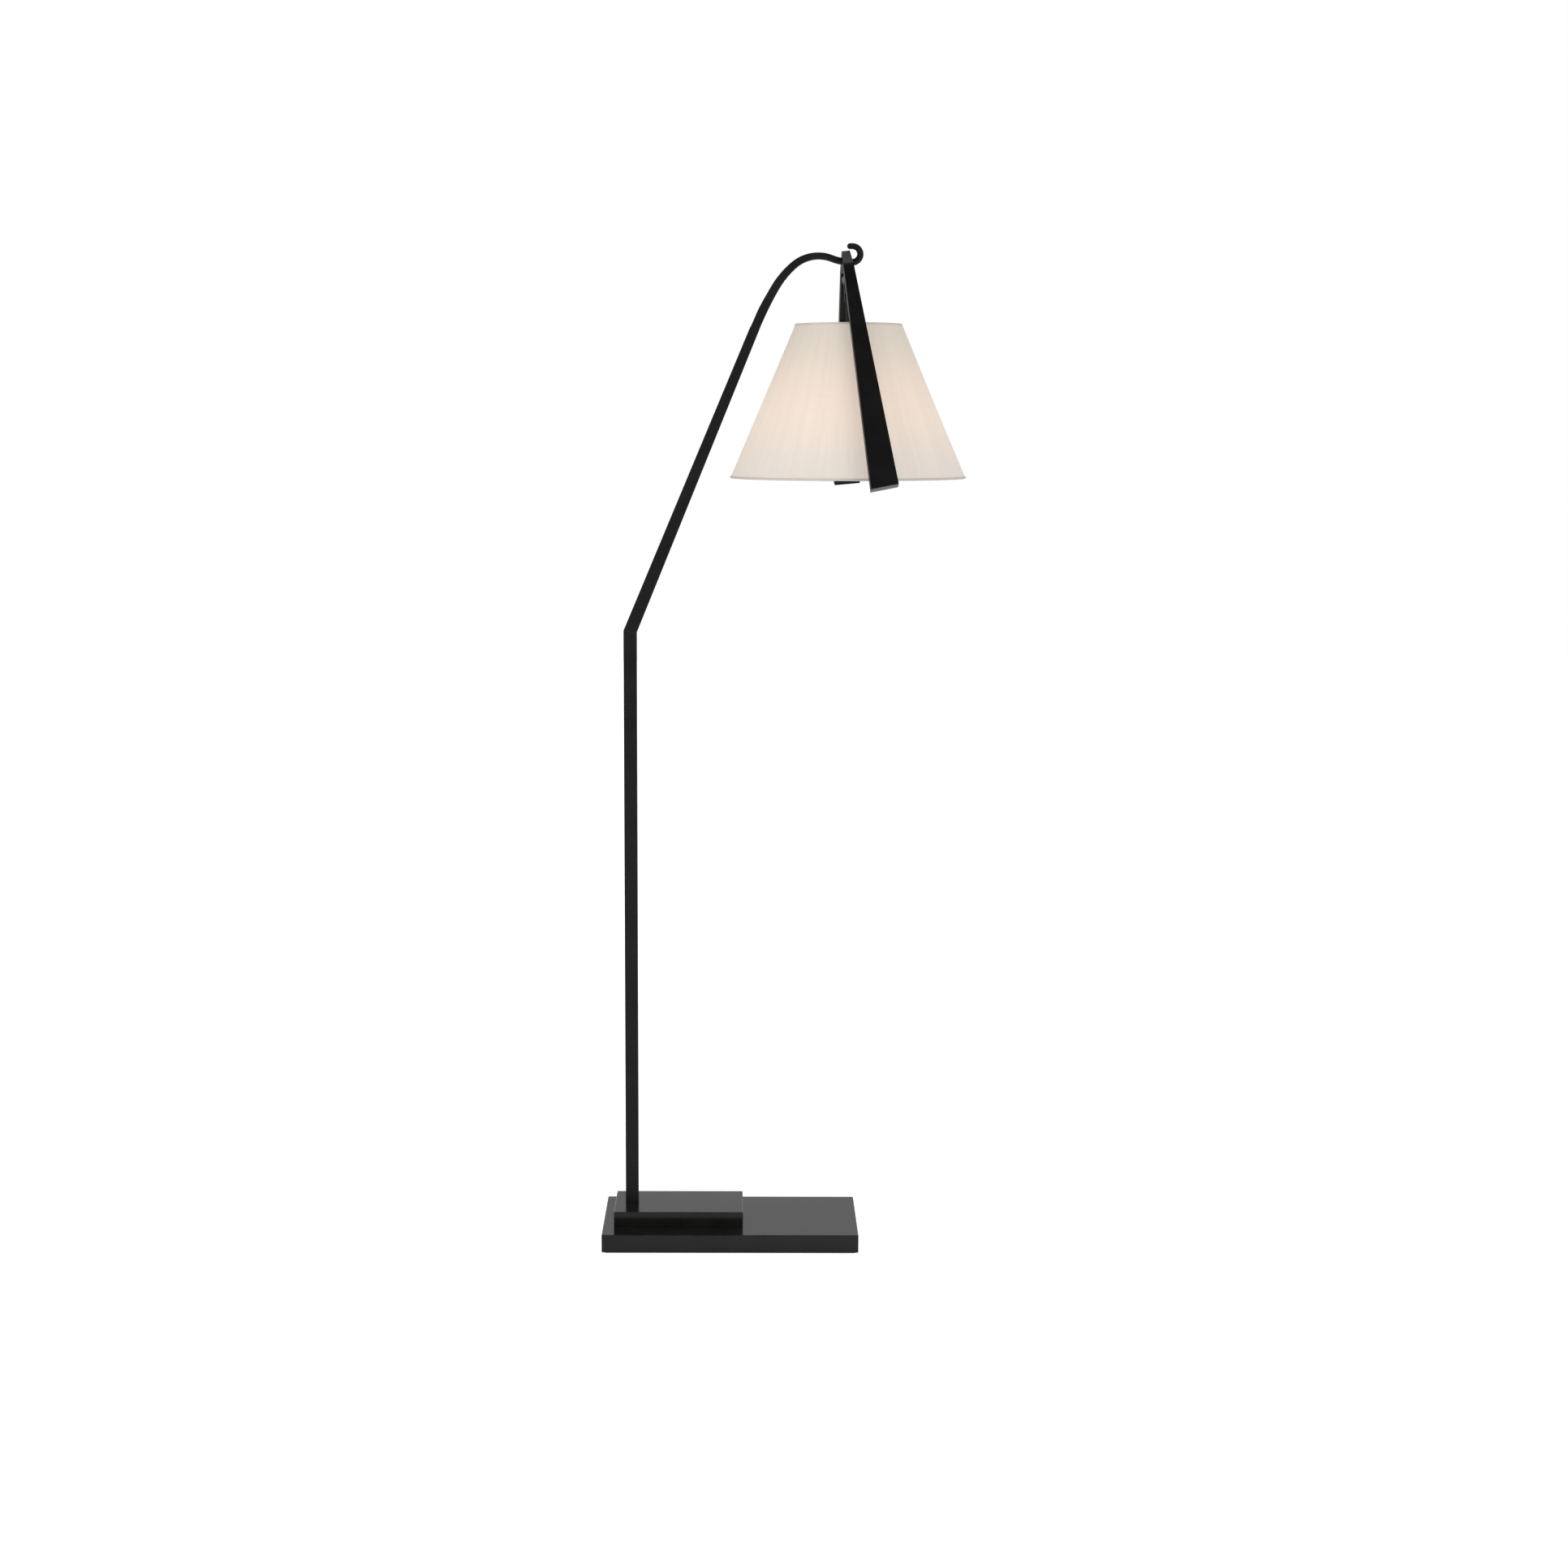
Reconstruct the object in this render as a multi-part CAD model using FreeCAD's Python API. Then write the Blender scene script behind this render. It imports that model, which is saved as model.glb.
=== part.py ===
import FreeCAD, Part
import math
import os

# A bridge floor lamp: a slab base, a square post, a forged arm that leans out, bends over and
# ends in a curl, a flared iron yoke hung over the arm, and a lit shade hung plumb in the yoke.
# Millimetres and degrees. X runs from the post to the shade, Y away from the viewer, Z up.
# The origin is the centre of the base's footprint, on the floor.

# base
PAD_THICKNESS = 1.5
PAD_INSET = 3.0
PLATE_LENGTH = 378.0
PLATE_DEPTH = 188.6
PLATE_THICKNESS = 26.4
BLOCK_LENGTH = 191.6
BLOCK_DEPTH = 105.6
BLOCK_THICKNESS = 21.6
BLOCK_INSET = 16.2
SLAB_BEVEL = 0.8

# post and its fixing
POST_SIDE = 19.05
POST_INSET = 15.9
POST_POCKET_DEPTH = 4.0
POST_BOLT_RADIUS = 6.0
POST_BOLT_DEPTH = 36.0
POST_BOLT_HEAD_RADIUS = 9.0
POST_BOLT_HEAD_HEIGHT = 12.0
POST_WASHER_RADIUS = 12.0
POST_WASHER_THICKNESS = 2.5

# screws that hold the block down from below
BLOCK_SCREW_RADIUS = 4.0
BLOCK_SCREW_GRIP = 12.0
BLOCK_SCREW_HEAD_RADIUS = 6.5
BLOCK_SCREW_HEAD_HEIGHT = 8.0
BLOCK_SCREW_MARGIN = 20.0
HEAD_RECESS = 1.5
KEY_DEPTH = 4.0
BOLT_KEY_WIDTH = 10.0
SCREW_KEY_WIDTH = 6.0

# arm: a square bar drawn down to a round one, along a straight run and four bends
KINK_HEIGHT = 910.2
ARM_LEAN = 22.47
ARM_RUN = 472.8
SWEEP_RADIUS = 464.9
SWEEP_TURN = -8.43
RISE_RADIUS = 129.0
RISE_TURN = -18.09
HUMP_RADIUS = 54.7
HUMP_TURN = -63.43
DIP_RADIUS = 43.7
DIP_TURN = 16.59
SWEEP_STEPS = 3
RISE_STEPS = 3
HUMP_STEPS = 6
DIP_STEPS = 2
ARM_BEND_SIDE = 13.9
ARM_HUMP_SIDE = 10.0
ARM_ARRIS = 1.0
ARM_HUMP_SHARE = 0.8
ARM_ROUNDED_SHARE = 0.9
SEAT_RADIUS = 5.0
SEAT_LENGTH = 14.66
CURL_RADIUS = 11.4
CURL_STEPS = 9
TIP_RADIUS = 4.3
TIP_RUN = 3.5

# yoke: one strap, narrow over the arm and wide at its two ends
CROWN_RISE = 15.3
CROWN_SHIFT = -1.5
YOKE_LEAN = 5.08
STRAP_THICKNESS = 10.5
CROWN_WIDTH = 10.7
STRAP_SPREAD = 0.0694
CROWN_FLAT = 2.5
CROWN_BEND_RADIUS = 30.3
ROOF_PITCH = 24.95
ROOF_RUN = 38.4
SHOULDER_RADIUS = 22.1
LEG_SLOPE = 27.17
LEG_RUN = 344.0
LEG_TWIST = 6.39
NEAR_END_SKEW = 6.4
STRAP_BEND_STEPS = 5

# hanger between yoke and shade
BRIDGE_DROP = 40.0
BRIDGE_WIDTH = 13.0
BRIDGE_HEIGHT = 8.0
PIVOT_DROP = 58.5
FORK_BASE = 4.0
EAR_RADIUS = 6.5
EAR_THICKNESS = 4.0
TONGUE_THICKNESS = 8.0
SHANK_RADIUS = 3.0
PIN_RADIUS = 2.5
PIN_HEAD_RADIUS = 4.0
PIN_HEAD_HEIGHT = 1.2
STEM_RADIUS = 4.0
COLLAR_RADIUS = 7.0
COLLAR_DROP = 9.5
COLLAR_HEIGHT = 4.0
SHANK_NUT_WIDTH = 10.0
SHANK_NUT_HEIGHT = 5.0
STEM_NUT_WIDTH = 13.0
STEM_NUT_HEIGHT = 5.0

# shade
SHADE_HANG = 46.6
SHADE_HEIGHT = 220.2
SHADE_TOP_RADIUS = 77.1
SHADE_BOTTOM_RADIUS = 170.5
SHADE_SKIN = 1.2
RING_WIRE_RADIUS = 1.5
RING_INSET = 2.2
WIRE_SIDES = 6
BINDING_WALL = 0.7
BINDING_LAP = 3.2
HUB_DROP = 6.0
HUB_RADIUS = 14.0
HUB_THICKNESS = 2.0
SPOKE_COUNT = 3
SPOKE_RADIUS = 1.6

# lamp holder and bulb
CAP_TOP_RADIUS = 10.0
CAP_DOME = 8.0
CAP_HEIGHT = 22.0
CAP_NECK_RADIUS = 7.0
CAP_NECK_HEIGHT = 7.0
HOLDER_RADIUS = 19.0
HOLDER_WALL = 0.8
HOLDER_HEIGHT = 46.0
HOLDER_ENTRY = 3.0
LINER_WALL = 0.8
CORE_HEIGHT = 10.0
CORE_DROP = 19.0
SCREW_SHELL_RADIUS = 13.6
SCREW_SHELL_WALL = 0.5
SCREW_SHELL_HEIGHT = 25.0
CONTACT_WIDTH = 6.0
CONTACT_LENGTH = 14.0
CONTACT_THICKNESS = 0.6
BULB_CAP_RADIUS = 12.8
BULB_CAP_HEIGHT = 23.0
BULB_CAP_WALL = 0.5
BULB_TIP_RADIUS = 4.5
BULB_TIP_HEIGHT = 2.0
BULB_NECK_HEIGHT = 10.0
BULB_RADIUS = 30.0
BULB_LENGTH = 105.0
BULB_WALL = 1.0
BULB_CHEEK_ANGLE = 40.0
BULB_GLOBE_STEPS = 5
BUSHING_RADIUS = 4.4
BUSHING_BORE_RADIUS = 3.2
BUSHING_FLANGE_RADIUS = 6.2
BUSHING_FLANGE = 1.5
BUSHING_LENGTH = 6.0

# switch
SWITCH_SHAFT_RADIUS = 1.6
SWITCH_SHAFT_ENTRY = 9.0
SWITCH_HOLE_GAP = 0.4
KNOB_RADIUS = 6.5
KNOB_LENGTH = 12.0
KNOB_STANDOFF = 1.5
KNOB_WAIST = 2.4
KNOB_FLUTES = 10
KNOB_FLUTE_RADIUS = 0.9

# clearances
POCKET_GAP = 0.1
BOLT_GAP = 0.5
THREAD_GAP = 0.05
RUNNING_GAP = 0.05
GROOVE_GAP = 0.1
TONGUE_GAP = 0.3
SOFT_SEAT = 0.15
HARD_SEAT = 0.3

FULL_TURN = 360.0
RIGHT_ANGLE = 90.0
NUT_SIDES = 6
EARLY_POWER = 4
LATE_POWER = 8
UP = FreeCAD.Vector(0, 0, 1)
DEEP = FreeCAD.Vector(0, 1, 0)
ORIGIN = FreeCAD.Vector(0, 0, 0)


def sin(angle):
    return math.sin(math.radians(angle))


def cos(angle):
    return math.cos(math.radians(angle))


def tan(angle):
    return math.tan(math.radians(angle))


def vector(x, y, z):
    return FreeCAD.Vector(x, y, z)


# levels and places that follow from the sizes
PLATE_BOTTOM = PAD_THICKNESS
PLATE_TOP = PLATE_BOTTOM + PLATE_THICKNESS
BLOCK_TOP = PLATE_TOP + BLOCK_THICKNESS
BLOCK_LEFT = -PLATE_LENGTH / 2 + BLOCK_INSET
BLOCK_CENTRE = BLOCK_LEFT + BLOCK_LENGTH / 2
POST_AXIS = BLOCK_LEFT + POST_INSET + POST_SIDE / 2
POST_FOOT = BLOCK_TOP - POST_POCKET_DEPTH


# ---- general solids

def block_between(low, high):
    size = high - low
    return Part.makeBox(size.x, size.y, size.z, low)


def rod(start, end, radius):
    return Part.makeCylinder(radius, (end - start).Length, start, end - start)


def plumb_rod(x, y, bottom, top, radius):
    return rod(vector(x, y, bottom), vector(x, y, top), radius)


def hex_prism(centre, across_flats, height):
    """A six-sided prism that stands on the point given."""
    reach = across_flats / 2 / cos(FULL_TURN / NUT_SIDES / 2)
    corners = []
    for corner in range(NUT_SIDES + 1):
        turn = corner * FULL_TURN / NUT_SIDES
        corners.append(centre + vector(reach * cos(turn), reach * sin(turn), 0))
    return Part.Face(Part.makePolygon(corners)).extrude(UP * height)


def revolved(edges, x):
    """Turns a closed (radius, height) outline about the upright axis at x."""
    face = Part.Face(Part.Wire(edges))
    solid = face.revolve(ORIGIN, UP, FULL_TURN)
    solid.translate(vector(x, 0, 0))
    return solid


def outline(points):
    """Edges of a closed (radius, height) outline."""
    edges = []
    last = points[-1]
    for point in points:
        start = vector(last[0], 0, last[1])
        end = vector(point[0], 0, point[1])
        edges.append(Part.LineSegment(start, end).toShape())
        last = point
    return edges


def tube(x, bottom, top, outside, inside):
    return plumb_rod(x, 0, bottom, top, outside).cut(plumb_rod(x, 0, bottom, top, inside))


def bevelled(solid, size):
    return solid.makeChamfer(size, solid.Edges)


def beyond(point, direction):
    """A large disc-faced block that holds everything past a plane."""
    return Part.makeCylinder(2 * PLATE_DEPTH, 2 * PLATE_DEPTH, point, direction)


def middle_solid(shape, axis_point):
    """The one solid of a cut shape that lies nearest to a point."""
    return min(shape.Solids, key=lambda solid: (solid.CenterOfMass - axis_point).Length)


# ---- base

def screw_places():
    reach_x = BLOCK_LENGTH / 2 - BLOCK_SCREW_MARGIN
    reach_y = BLOCK_DEPTH / 2 - BLOCK_SCREW_MARGIN
    places = []
    for side_x in (-1, 1):
        for side_y in (-1, 1):
            places.append((BLOCK_CENTRE + side_x * reach_x, side_y * reach_y))
    return places


def felt_pad():
    half_x = PLATE_LENGTH / 2 - PAD_INSET
    half_y = PLATE_DEPTH / 2 - PAD_INSET
    return block_between(vector(-half_x, -half_y, 0), vector(half_x, half_y, PAD_THICKNESS))


def counterbored(slab, x, y, shank, head, head_depth):
    """Cuts a through hole with a wide mouth below into the base plate."""
    slab = slab.cut(plumb_rod(x, y, PLATE_BOTTOM, PLATE_TOP, shank + BOLT_GAP))
    return slab.cut(plumb_rod(x, y, PLATE_BOTTOM, PLATE_BOTTOM + head_depth, head + BOLT_GAP))


def base_plate():
    half_x = PLATE_LENGTH / 2
    half_y = PLATE_DEPTH / 2
    low = vector(-half_x, -half_y, PLATE_BOTTOM)
    plate = bevelled(block_between(low, vector(half_x, half_y, PLATE_TOP)), SLAB_BEVEL)
    for x, y in screw_places():
        depth = HEAD_RECESS + BLOCK_SCREW_HEAD_HEIGHT
        plate = counterbored(plate, x, y, BLOCK_SCREW_RADIUS, BLOCK_SCREW_HEAD_RADIUS, depth)
    depth = HEAD_RECESS + POST_BOLT_HEAD_HEIGHT + POST_WASHER_THICKNESS
    return counterbored(plate, POST_AXIS, 0, POST_BOLT_RADIUS, POST_WASHER_RADIUS, depth)


def base_block():
    half_y = BLOCK_DEPTH / 2
    low = vector(BLOCK_LEFT, -half_y, PLATE_TOP)
    high = vector(BLOCK_LEFT + BLOCK_LENGTH, half_y, BLOCK_TOP)
    slab = bevelled(block_between(low, high), SLAB_BEVEL)
    for x, y in screw_places():
        top = PLATE_TOP + BLOCK_SCREW_GRIP + HEAD_RECESS
        slab = slab.cut(plumb_rod(x, y, PLATE_TOP, top, BLOCK_SCREW_RADIUS + THREAD_GAP))
    slab = slab.cut(plumb_rod(POST_AXIS, 0, PLATE_TOP, BLOCK_TOP, POST_BOLT_RADIUS + BOLT_GAP))
    half = POST_SIDE / 2 + POCKET_GAP
    pocket_low = vector(POST_AXIS - half, -half, POST_FOOT)
    return slab.cut(block_between(pocket_low, vector(POST_AXIS + half, half, BLOCK_TOP)))


def cap_screw(x, y, head_bottom, head_radius, head_height, radius, top, key_width):
    """A socket-head screw that points up, with its key recess below."""
    neck = head_bottom + head_height
    screw = plumb_rod(x, y, head_bottom, neck, head_radius)
    screw = screw.fuse(plumb_rod(x, y, neck, top, radius)).removeSplitter()
    return screw.cut(hex_prism(vector(x, y, head_bottom), key_width, KEY_DEPTH))


def block_screws():
    bottom = PLATE_BOTTOM + HEAD_RECESS
    top = PLATE_TOP + BLOCK_SCREW_GRIP
    screws = []
    for x, y in screw_places():
        screws.append(cap_screw(x, y, bottom, BLOCK_SCREW_HEAD_RADIUS, BLOCK_SCREW_HEAD_HEIGHT,
                                BLOCK_SCREW_RADIUS, top, SCREW_KEY_WIDTH))
    return Part.makeCompound(screws)


def post_bolt():
    bottom = PLATE_BOTTOM + HEAD_RECESS
    return cap_screw(POST_AXIS, 0, bottom, POST_BOLT_HEAD_RADIUS, POST_BOLT_HEAD_HEIGHT,
                     POST_BOLT_RADIUS, POST_FOOT + POST_BOLT_DEPTH, BOLT_KEY_WIDTH)


def post_washer():
    bottom = PLATE_BOTTOM + HEAD_RECESS + POST_BOLT_HEAD_HEIGHT
    top = bottom + POST_WASHER_THICKNESS
    return tube(POST_AXIS, bottom, top, POST_WASHER_RADIUS, POST_BOLT_RADIUS + BOLT_GAP / 2)


# ---- post and arm

def kink():
    return vector(POST_AXIS, 0, KINK_HEIGHT)


def mitre_normal():
    return vector(sin(ARM_LEAN / 2), 0, cos(ARM_LEAN / 2))


def post():
    half = POST_SIDE / 2
    low = vector(POST_AXIS - half, -half, POST_FOOT)
    bar = block_between(low, vector(POST_AXIS + half, half, KINK_HEIGHT + POST_SIDE))
    bar = bar.cut(beyond(kink(), mitre_normal()))
    hole_top = POST_FOOT + POST_BOLT_DEPTH + HEAD_RECESS
    return bar.cut(plumb_rod(POST_AXIS, 0, POST_FOOT, hole_top, POST_BOLT_RADIUS + THREAD_GAP))


class Station:
    """A place on a bent bar's route: where it is, how it is headed, and how far along it lies."""

    def __init__(self, place, height, heading, run):
        self.place = place
        self.height = height
        self.heading = heading
        self.run = run

    def ahead(self, length):
        place = self.place + length * cos(self.heading)
        height = self.height + length * sin(self.heading)
        return Station(place, height, self.heading, self.run + length)

    def around(self, radius, turn):
        chord = 2 * radius * sin(abs(turn) / 2)
        place = self.place + chord * cos(self.heading + turn / 2)
        height = self.height + chord * sin(self.heading + turn / 2)
        run = self.run + radius * math.radians(abs(turn))
        return Station(place, height, self.heading + turn, run)


def bend_stations(start, radius, turn, steps):
    stations = []
    for step in range(steps):
        start = start.around(radius, turn / steps)
        stations.append(start)
    return stations


def arm_start():
    return Station(POST_AXIS, KINK_HEIGHT, RIGHT_ANGLE - ARM_LEAN, 0)


def arm_bend_stations():
    """Stations from the end of the straight run to the start of the yoke's seat."""
    stations = [arm_start().ahead(ARM_RUN)]
    bends = (
        (SWEEP_RADIUS, SWEEP_TURN, SWEEP_STEPS),
        (RISE_RADIUS, RISE_TURN, RISE_STEPS),
        (HUMP_RADIUS, HUMP_TURN, HUMP_STEPS),
        (DIP_RADIUS, DIP_TURN, DIP_STEPS),
    )
    for radius, turn, steps in bends:
        stations.extend(bend_stations(stations[-1], radius, turn, steps))
    return stations


def seat_start():
    return arm_bend_stations()[-1]


def point_of(station):
    return vector(station.place, 0, station.height)


def ahead_of(station):
    return vector(cos(station.heading), 0, sin(station.heading))


def above(station):
    return vector(-sin(station.heading), 0, cos(station.heading))


def softened_square(station, side, arris):
    """A square section with round corners: four sides and four corner arcs."""
    centre = point_of(station)
    across = DEEP
    upward = above(station)
    flat = side / 2 - arris
    knee = arris * cos(RIGHT_ANGLE / 2)
    edges = []
    corners = ((1, 1), (-1, 1), (-1, -1), (1, -1))
    for index, (a, b) in enumerate(corners):
        middle = across * (a * (flat + knee)) + upward * (b * (flat + knee))
        beside = across * (a * side / 2) + upward * (b * flat)
        over = across * (a * flat) + upward * (b * side / 2)
        ends = (beside, over) if index % 2 == 0 else (over, beside)
        edges.append(Part.Arc(centre + ends[0], centre + middle, centre + ends[1]).toShape())
        next_a, next_b = corners[(index + 1) % 4]
        if index % 2 == 0:
            target = across * (next_a * flat) + upward * (next_b * side / 2)
        else:
            target = across * (next_a * side / 2) + upward * (next_b * flat)
        edges.append(Part.LineSegment(centre + ends[1], centre + target).toShape())
    return Part.Wire(edges)


def round_section(station, radius):
    circle = Part.Circle(point_of(station), ahead_of(station), radius)
    return Part.Wire(circle.toShape())


def arm_side(run):
    """The bar's side at a distance from the kink: a slow taper, then a quicker one."""
    hump_run = ARM_RUN + (seat_start().run - ARM_RUN) * ARM_HUMP_SHARE
    if run <= ARM_RUN:
        return POST_SIDE + (ARM_BEND_SIDE - POST_SIDE) * max(run, 0) / ARM_RUN
    share = min((run - ARM_RUN) / (hump_run - ARM_RUN), 1)
    return ARM_BEND_SIDE + (ARM_HUMP_SIDE - ARM_BEND_SIDE) * share


def arm_straight():
    start = arm_start()
    mitre_reach = POST_SIDE / 2 * tan(ARM_LEAN / 2)
    sections = []
    for run in (-2 * mitre_reach, mitre_reach, ARM_RUN):
        sections.append(softened_square(start.ahead(run), arm_side(run), ARM_ARRIS))
    bar = Part.makeLoft(sections, True, True)
    return bar.cut(beyond(kink(), -mitre_normal()))


def arm_bent():
    """The bent stretch, square at first and nearly round where it meets the seat."""
    stations = arm_bend_stations()
    first = stations[0].run
    last = stations[-1].run
    sections = []
    for station in stations:
        share = (station.run - first) / (last - first)
        side = arm_side(station.run)
        side = side + (2 * SEAT_RADIUS - side) * share ** LATE_POWER
        arris = ARM_ARRIS + (ARM_ROUNDED_SHARE * side / 2 - ARM_ARRIS) * share ** EARLY_POWER
        sections.append(softened_square(station, side, arris))
    return Part.makeLoft(sections, True, False)


def arm_curl():
    """The round end: the yoke's seat, the curl and the domed tip."""
    start = seat_start()
    end = start.ahead(SEAT_LENGTH)
    seat = rod(point_of(start), point_of(end), SEAT_RADIUS)
    turn = FULL_TURN / 2 - end.heading
    sections = [round_section(end, SEAT_RADIUS)]
    stations = bend_stations(end, CURL_RADIUS, turn, CURL_STEPS)
    for step, station in enumerate(stations, 1):
        radius = SEAT_RADIUS + (TIP_RADIUS - SEAT_RADIUS) * step / CURL_STEPS
        sections.append(round_section(station, radius))
    curl = Part.makeLoft(sections, True, False)
    tip = stations[-1].ahead(TIP_RUN)
    straight = rod(point_of(stations[-1]), point_of(tip), TIP_RADIUS)
    dome = Part.makeSphere(TIP_RADIUS, point_of(tip))
    return seat.fuse([curl, straight, dome])


def arm():
    bar = arm_straight().fuse([arm_bent(), arm_curl()]).removeSplitter()
    return bar.Solids[0]


# ---- yoke

def yoke_place():
    """The yoke's frame: its crown's top over the seat's middle, leaning out below."""
    middle = seat_start().ahead(SEAT_LENGTH / 2)
    turn = FreeCAD.Rotation(DEEP, -YOKE_LEAN)
    crown_top = middle.height + CROWN_RISE
    return FreeCAD.Placement(vector(middle.place + CROWN_SHIFT, 0, crown_top), turn)


def strap_section(station, centre, yaw):
    """A rectangle across the strap, with its outer side on the route."""
    side = vector(cos(yaw), sin(yaw), 0)
    outward = vector(sin(yaw), -cos(yaw), 0)
    inner = outward * sin(station.heading) - UP * cos(station.heading)
    half = (CROWN_WIDTH + STRAP_SPREAD * station.run) / 2
    near = centre - side * half
    far = centre + side * half
    depth = inner * STRAP_THICKNESS
    return Part.makePolygon([near, far, far + depth, near + depth, near])


def half_strap(skew):
    """From the crown's middle down to one end, which is cut off square or askew."""
    station = Station(0, 0, 0, 0)
    route = [(station, 0)]
    station = station.ahead(CROWN_FLAT)
    route.append((station, 0))
    for station in bend_stations(station, CROWN_BEND_RADIUS, -ROOF_PITCH, STRAP_BEND_STEPS):
        route.append((station, 0))
    station = station.ahead(ROOF_RUN)
    route.append((station, 0))
    shoulder_turn = ROOF_PITCH - (RIGHT_ANGLE - LEG_SLOPE)
    bend = bend_stations(station, SHOULDER_RADIUS, shoulder_turn, STRAP_BEND_STEPS)
    for step, station in enumerate(bend, 1):
        route.append((station, LEG_TWIST * step / STRAP_BEND_STEPS))
    spare = STRAP_THICKNESS
    route.append((station.ahead(LEG_RUN + spare), LEG_TWIST))
    centre = ORIGIN
    last = route[0][0]
    sections = []
    for station, yaw in route:
        out = station.place - last.place
        centre = centre + vector(out * sin(yaw), -out * cos(yaw), station.height - last.height)
        sections.append(strap_section(station, centre, yaw))
        last = station
    strap = Part.makeLoft(sections, True, True)
    along = vector(sin(LEG_TWIST) * sin(LEG_SLOPE), -cos(LEG_TWIST) * sin(LEG_SLOPE), -cos(LEG_SLOPE))
    face = vector(sin(LEG_TWIST) * cos(LEG_SLOPE), -cos(LEG_TWIST) * cos(LEG_SLOPE), sin(LEG_SLOPE))
    skewed = FreeCAD.Rotation(face, skew).multVec(along)
    return strap.cut(beyond(centre - along * spare, skewed))


def yoke():
    leg = half_strap(NEAR_END_SKEW)
    other = half_strap(0)
    other.rotate(ORIGIN, UP, FULL_TURN / 2)
    strap = leg.fuse(other).removeSplitter().Solids[0]
    strap.Placement = yoke_place()
    start = seat_start()
    groove = rod(point_of(start), point_of(start.ahead(SEAT_LENGTH)), SEAT_RADIUS + GROOVE_GAP)
    return strap.cut(groove)


def in_yoke(shape):
    """Moves a shape from the yoke's own frame to where the yoke hangs."""
    shape.Placement = yoke_place().multiply(shape.Placement)
    return shape


def fork_top():
    return -BRIDGE_DROP - BRIDGE_HEIGHT / 2


def yoke_bridge():
    """A flat bar welded between the two shoulders, below the arm."""
    reach = ROOF_RUN + CROWN_BEND_RADIUS + SHOULDER_RADIUS
    low = vector(-BRIDGE_WIDTH / 2, -reach, fork_top())
    high = vector(BRIDGE_WIDTH / 2, reach, fork_top() + BRIDGE_HEIGHT)
    bar = block_between(low, high)
    bar = bar.cut(plumb_rod(0, 0, low.z, high.z, SHANK_RADIUS + THREAD_GAP * 2))
    bar = in_yoke(bar).cut(yoke())
    return middle_solid(bar, yoke_place().multVec(vector(0, 0, -BRIDGE_DROP)))


def fork_half_gap():
    return TONGUE_THICKNESS / 2 + TONGUE_GAP


def hanger_fork():
    """Two ears about the pivot, under a base and a threaded shank through the bridge."""
    outside = fork_half_gap() + EAR_THICKNESS
    low = vector(-EAR_RADIUS, -outside, fork_top() - FORK_BASE)
    base = block_between(low, vector(EAR_RADIUS, outside, fork_top()))
    shank_top = fork_top() + BRIDGE_HEIGHT + SHANK_NUT_HEIGHT
    fork = base.fuse(plumb_rod(0, 0, fork_top(), shank_top, SHANK_RADIUS))
    for side in (-1, 1):
        near = side * fork_half_gap()
        far = side * outside
        ear = rod(vector(0, near, -PIVOT_DROP), vector(0, far, -PIVOT_DROP), EAR_RADIUS)
        cheek_low = vector(-EAR_RADIUS, min(near, far), -PIVOT_DROP)
        cheek = block_between(cheek_low, vector(EAR_RADIUS, max(near, far), low.z))
        fork = fork.fuse([ear, cheek])
    pin = rod(vector(0, -outside, -PIVOT_DROP), vector(0, outside, -PIVOT_DROP),
              PIN_RADIUS + RUNNING_GAP)
    return in_yoke(fork.removeSplitter().cut(pin))


def hanger_nut():
    bottom = fork_top() + BRIDGE_HEIGHT
    nut = hex_prism(vector(0, 0, bottom), SHANK_NUT_WIDTH, SHANK_NUT_HEIGHT)
    bore = plumb_rod(0, 0, bottom, bottom + SHANK_NUT_HEIGHT, SHANK_RADIUS + THREAD_GAP)
    return in_yoke(nut.cut(bore))


def hanger_pin():
    """A pin with a head at each end, across the fork's ears."""
    outside = fork_half_gap() + EAR_THICKNESS + THREAD_GAP
    head = outside + PIN_HEAD_HEIGHT
    pin = rod(vector(0, -outside, -PIVOT_DROP), vector(0, outside, -PIVOT_DROP), PIN_RADIUS)
    for side in (-1, 1):
        inner = vector(0, side * outside, -PIVOT_DROP)
        pin = pin.fuse(rod(inner, vector(0, side * head, -PIVOT_DROP), PIN_HEAD_RADIUS))
    return in_yoke(pin.removeSplitter())


# ---- shade head, hung plumb below the pivot

def pivot():
    return yoke_place().multVec(vector(0, 0, -PIVOT_DROP))


def shade_axis():
    return pivot().x


# levels of the shade and the lamp holder, down from the pivot
SHADE_TOP = pivot().z - SHADE_HANG
SHADE_BOTTOM = SHADE_TOP - SHADE_HEIGHT
SHADE_FLARE = math.degrees(math.atan((SHADE_BOTTOM_RADIUS - SHADE_TOP_RADIUS) / SHADE_HEIGHT))
HUB_TOP = SHADE_TOP - HUB_DROP
HUB_BOTTOM = HUB_TOP - HUB_THICKNESS
CAP_TOP = HUB_BOTTOM - STEM_NUT_HEIGHT
HOLDER_TOP = CAP_TOP - CAP_HEIGHT + HOLDER_ENTRY
HOLDER_BOTTOM = HOLDER_TOP - HOLDER_HEIGHT
CORE_TOP = CAP_TOP - CORE_DROP
CORE_BOTTOM = CORE_TOP - CORE_HEIGHT
LINER_OUTSIDE = HOLDER_RADIUS - HOLDER_WALL - SOFT_SEAT
LINER_INSIDE = LINER_OUTSIDE - LINER_WALL
CORE_RADIUS = LINER_INSIDE - SOFT_SEAT
BULB_TIP = CORE_BOTTOM - 2 * CONTACT_THICKNESS - HARD_SEAT
BULB_CAP_TOP = BULB_TIP - BULB_TIP_HEIGHT
SWITCH_LEVEL = CORE_TOP - CORE_HEIGHT / 2
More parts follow.
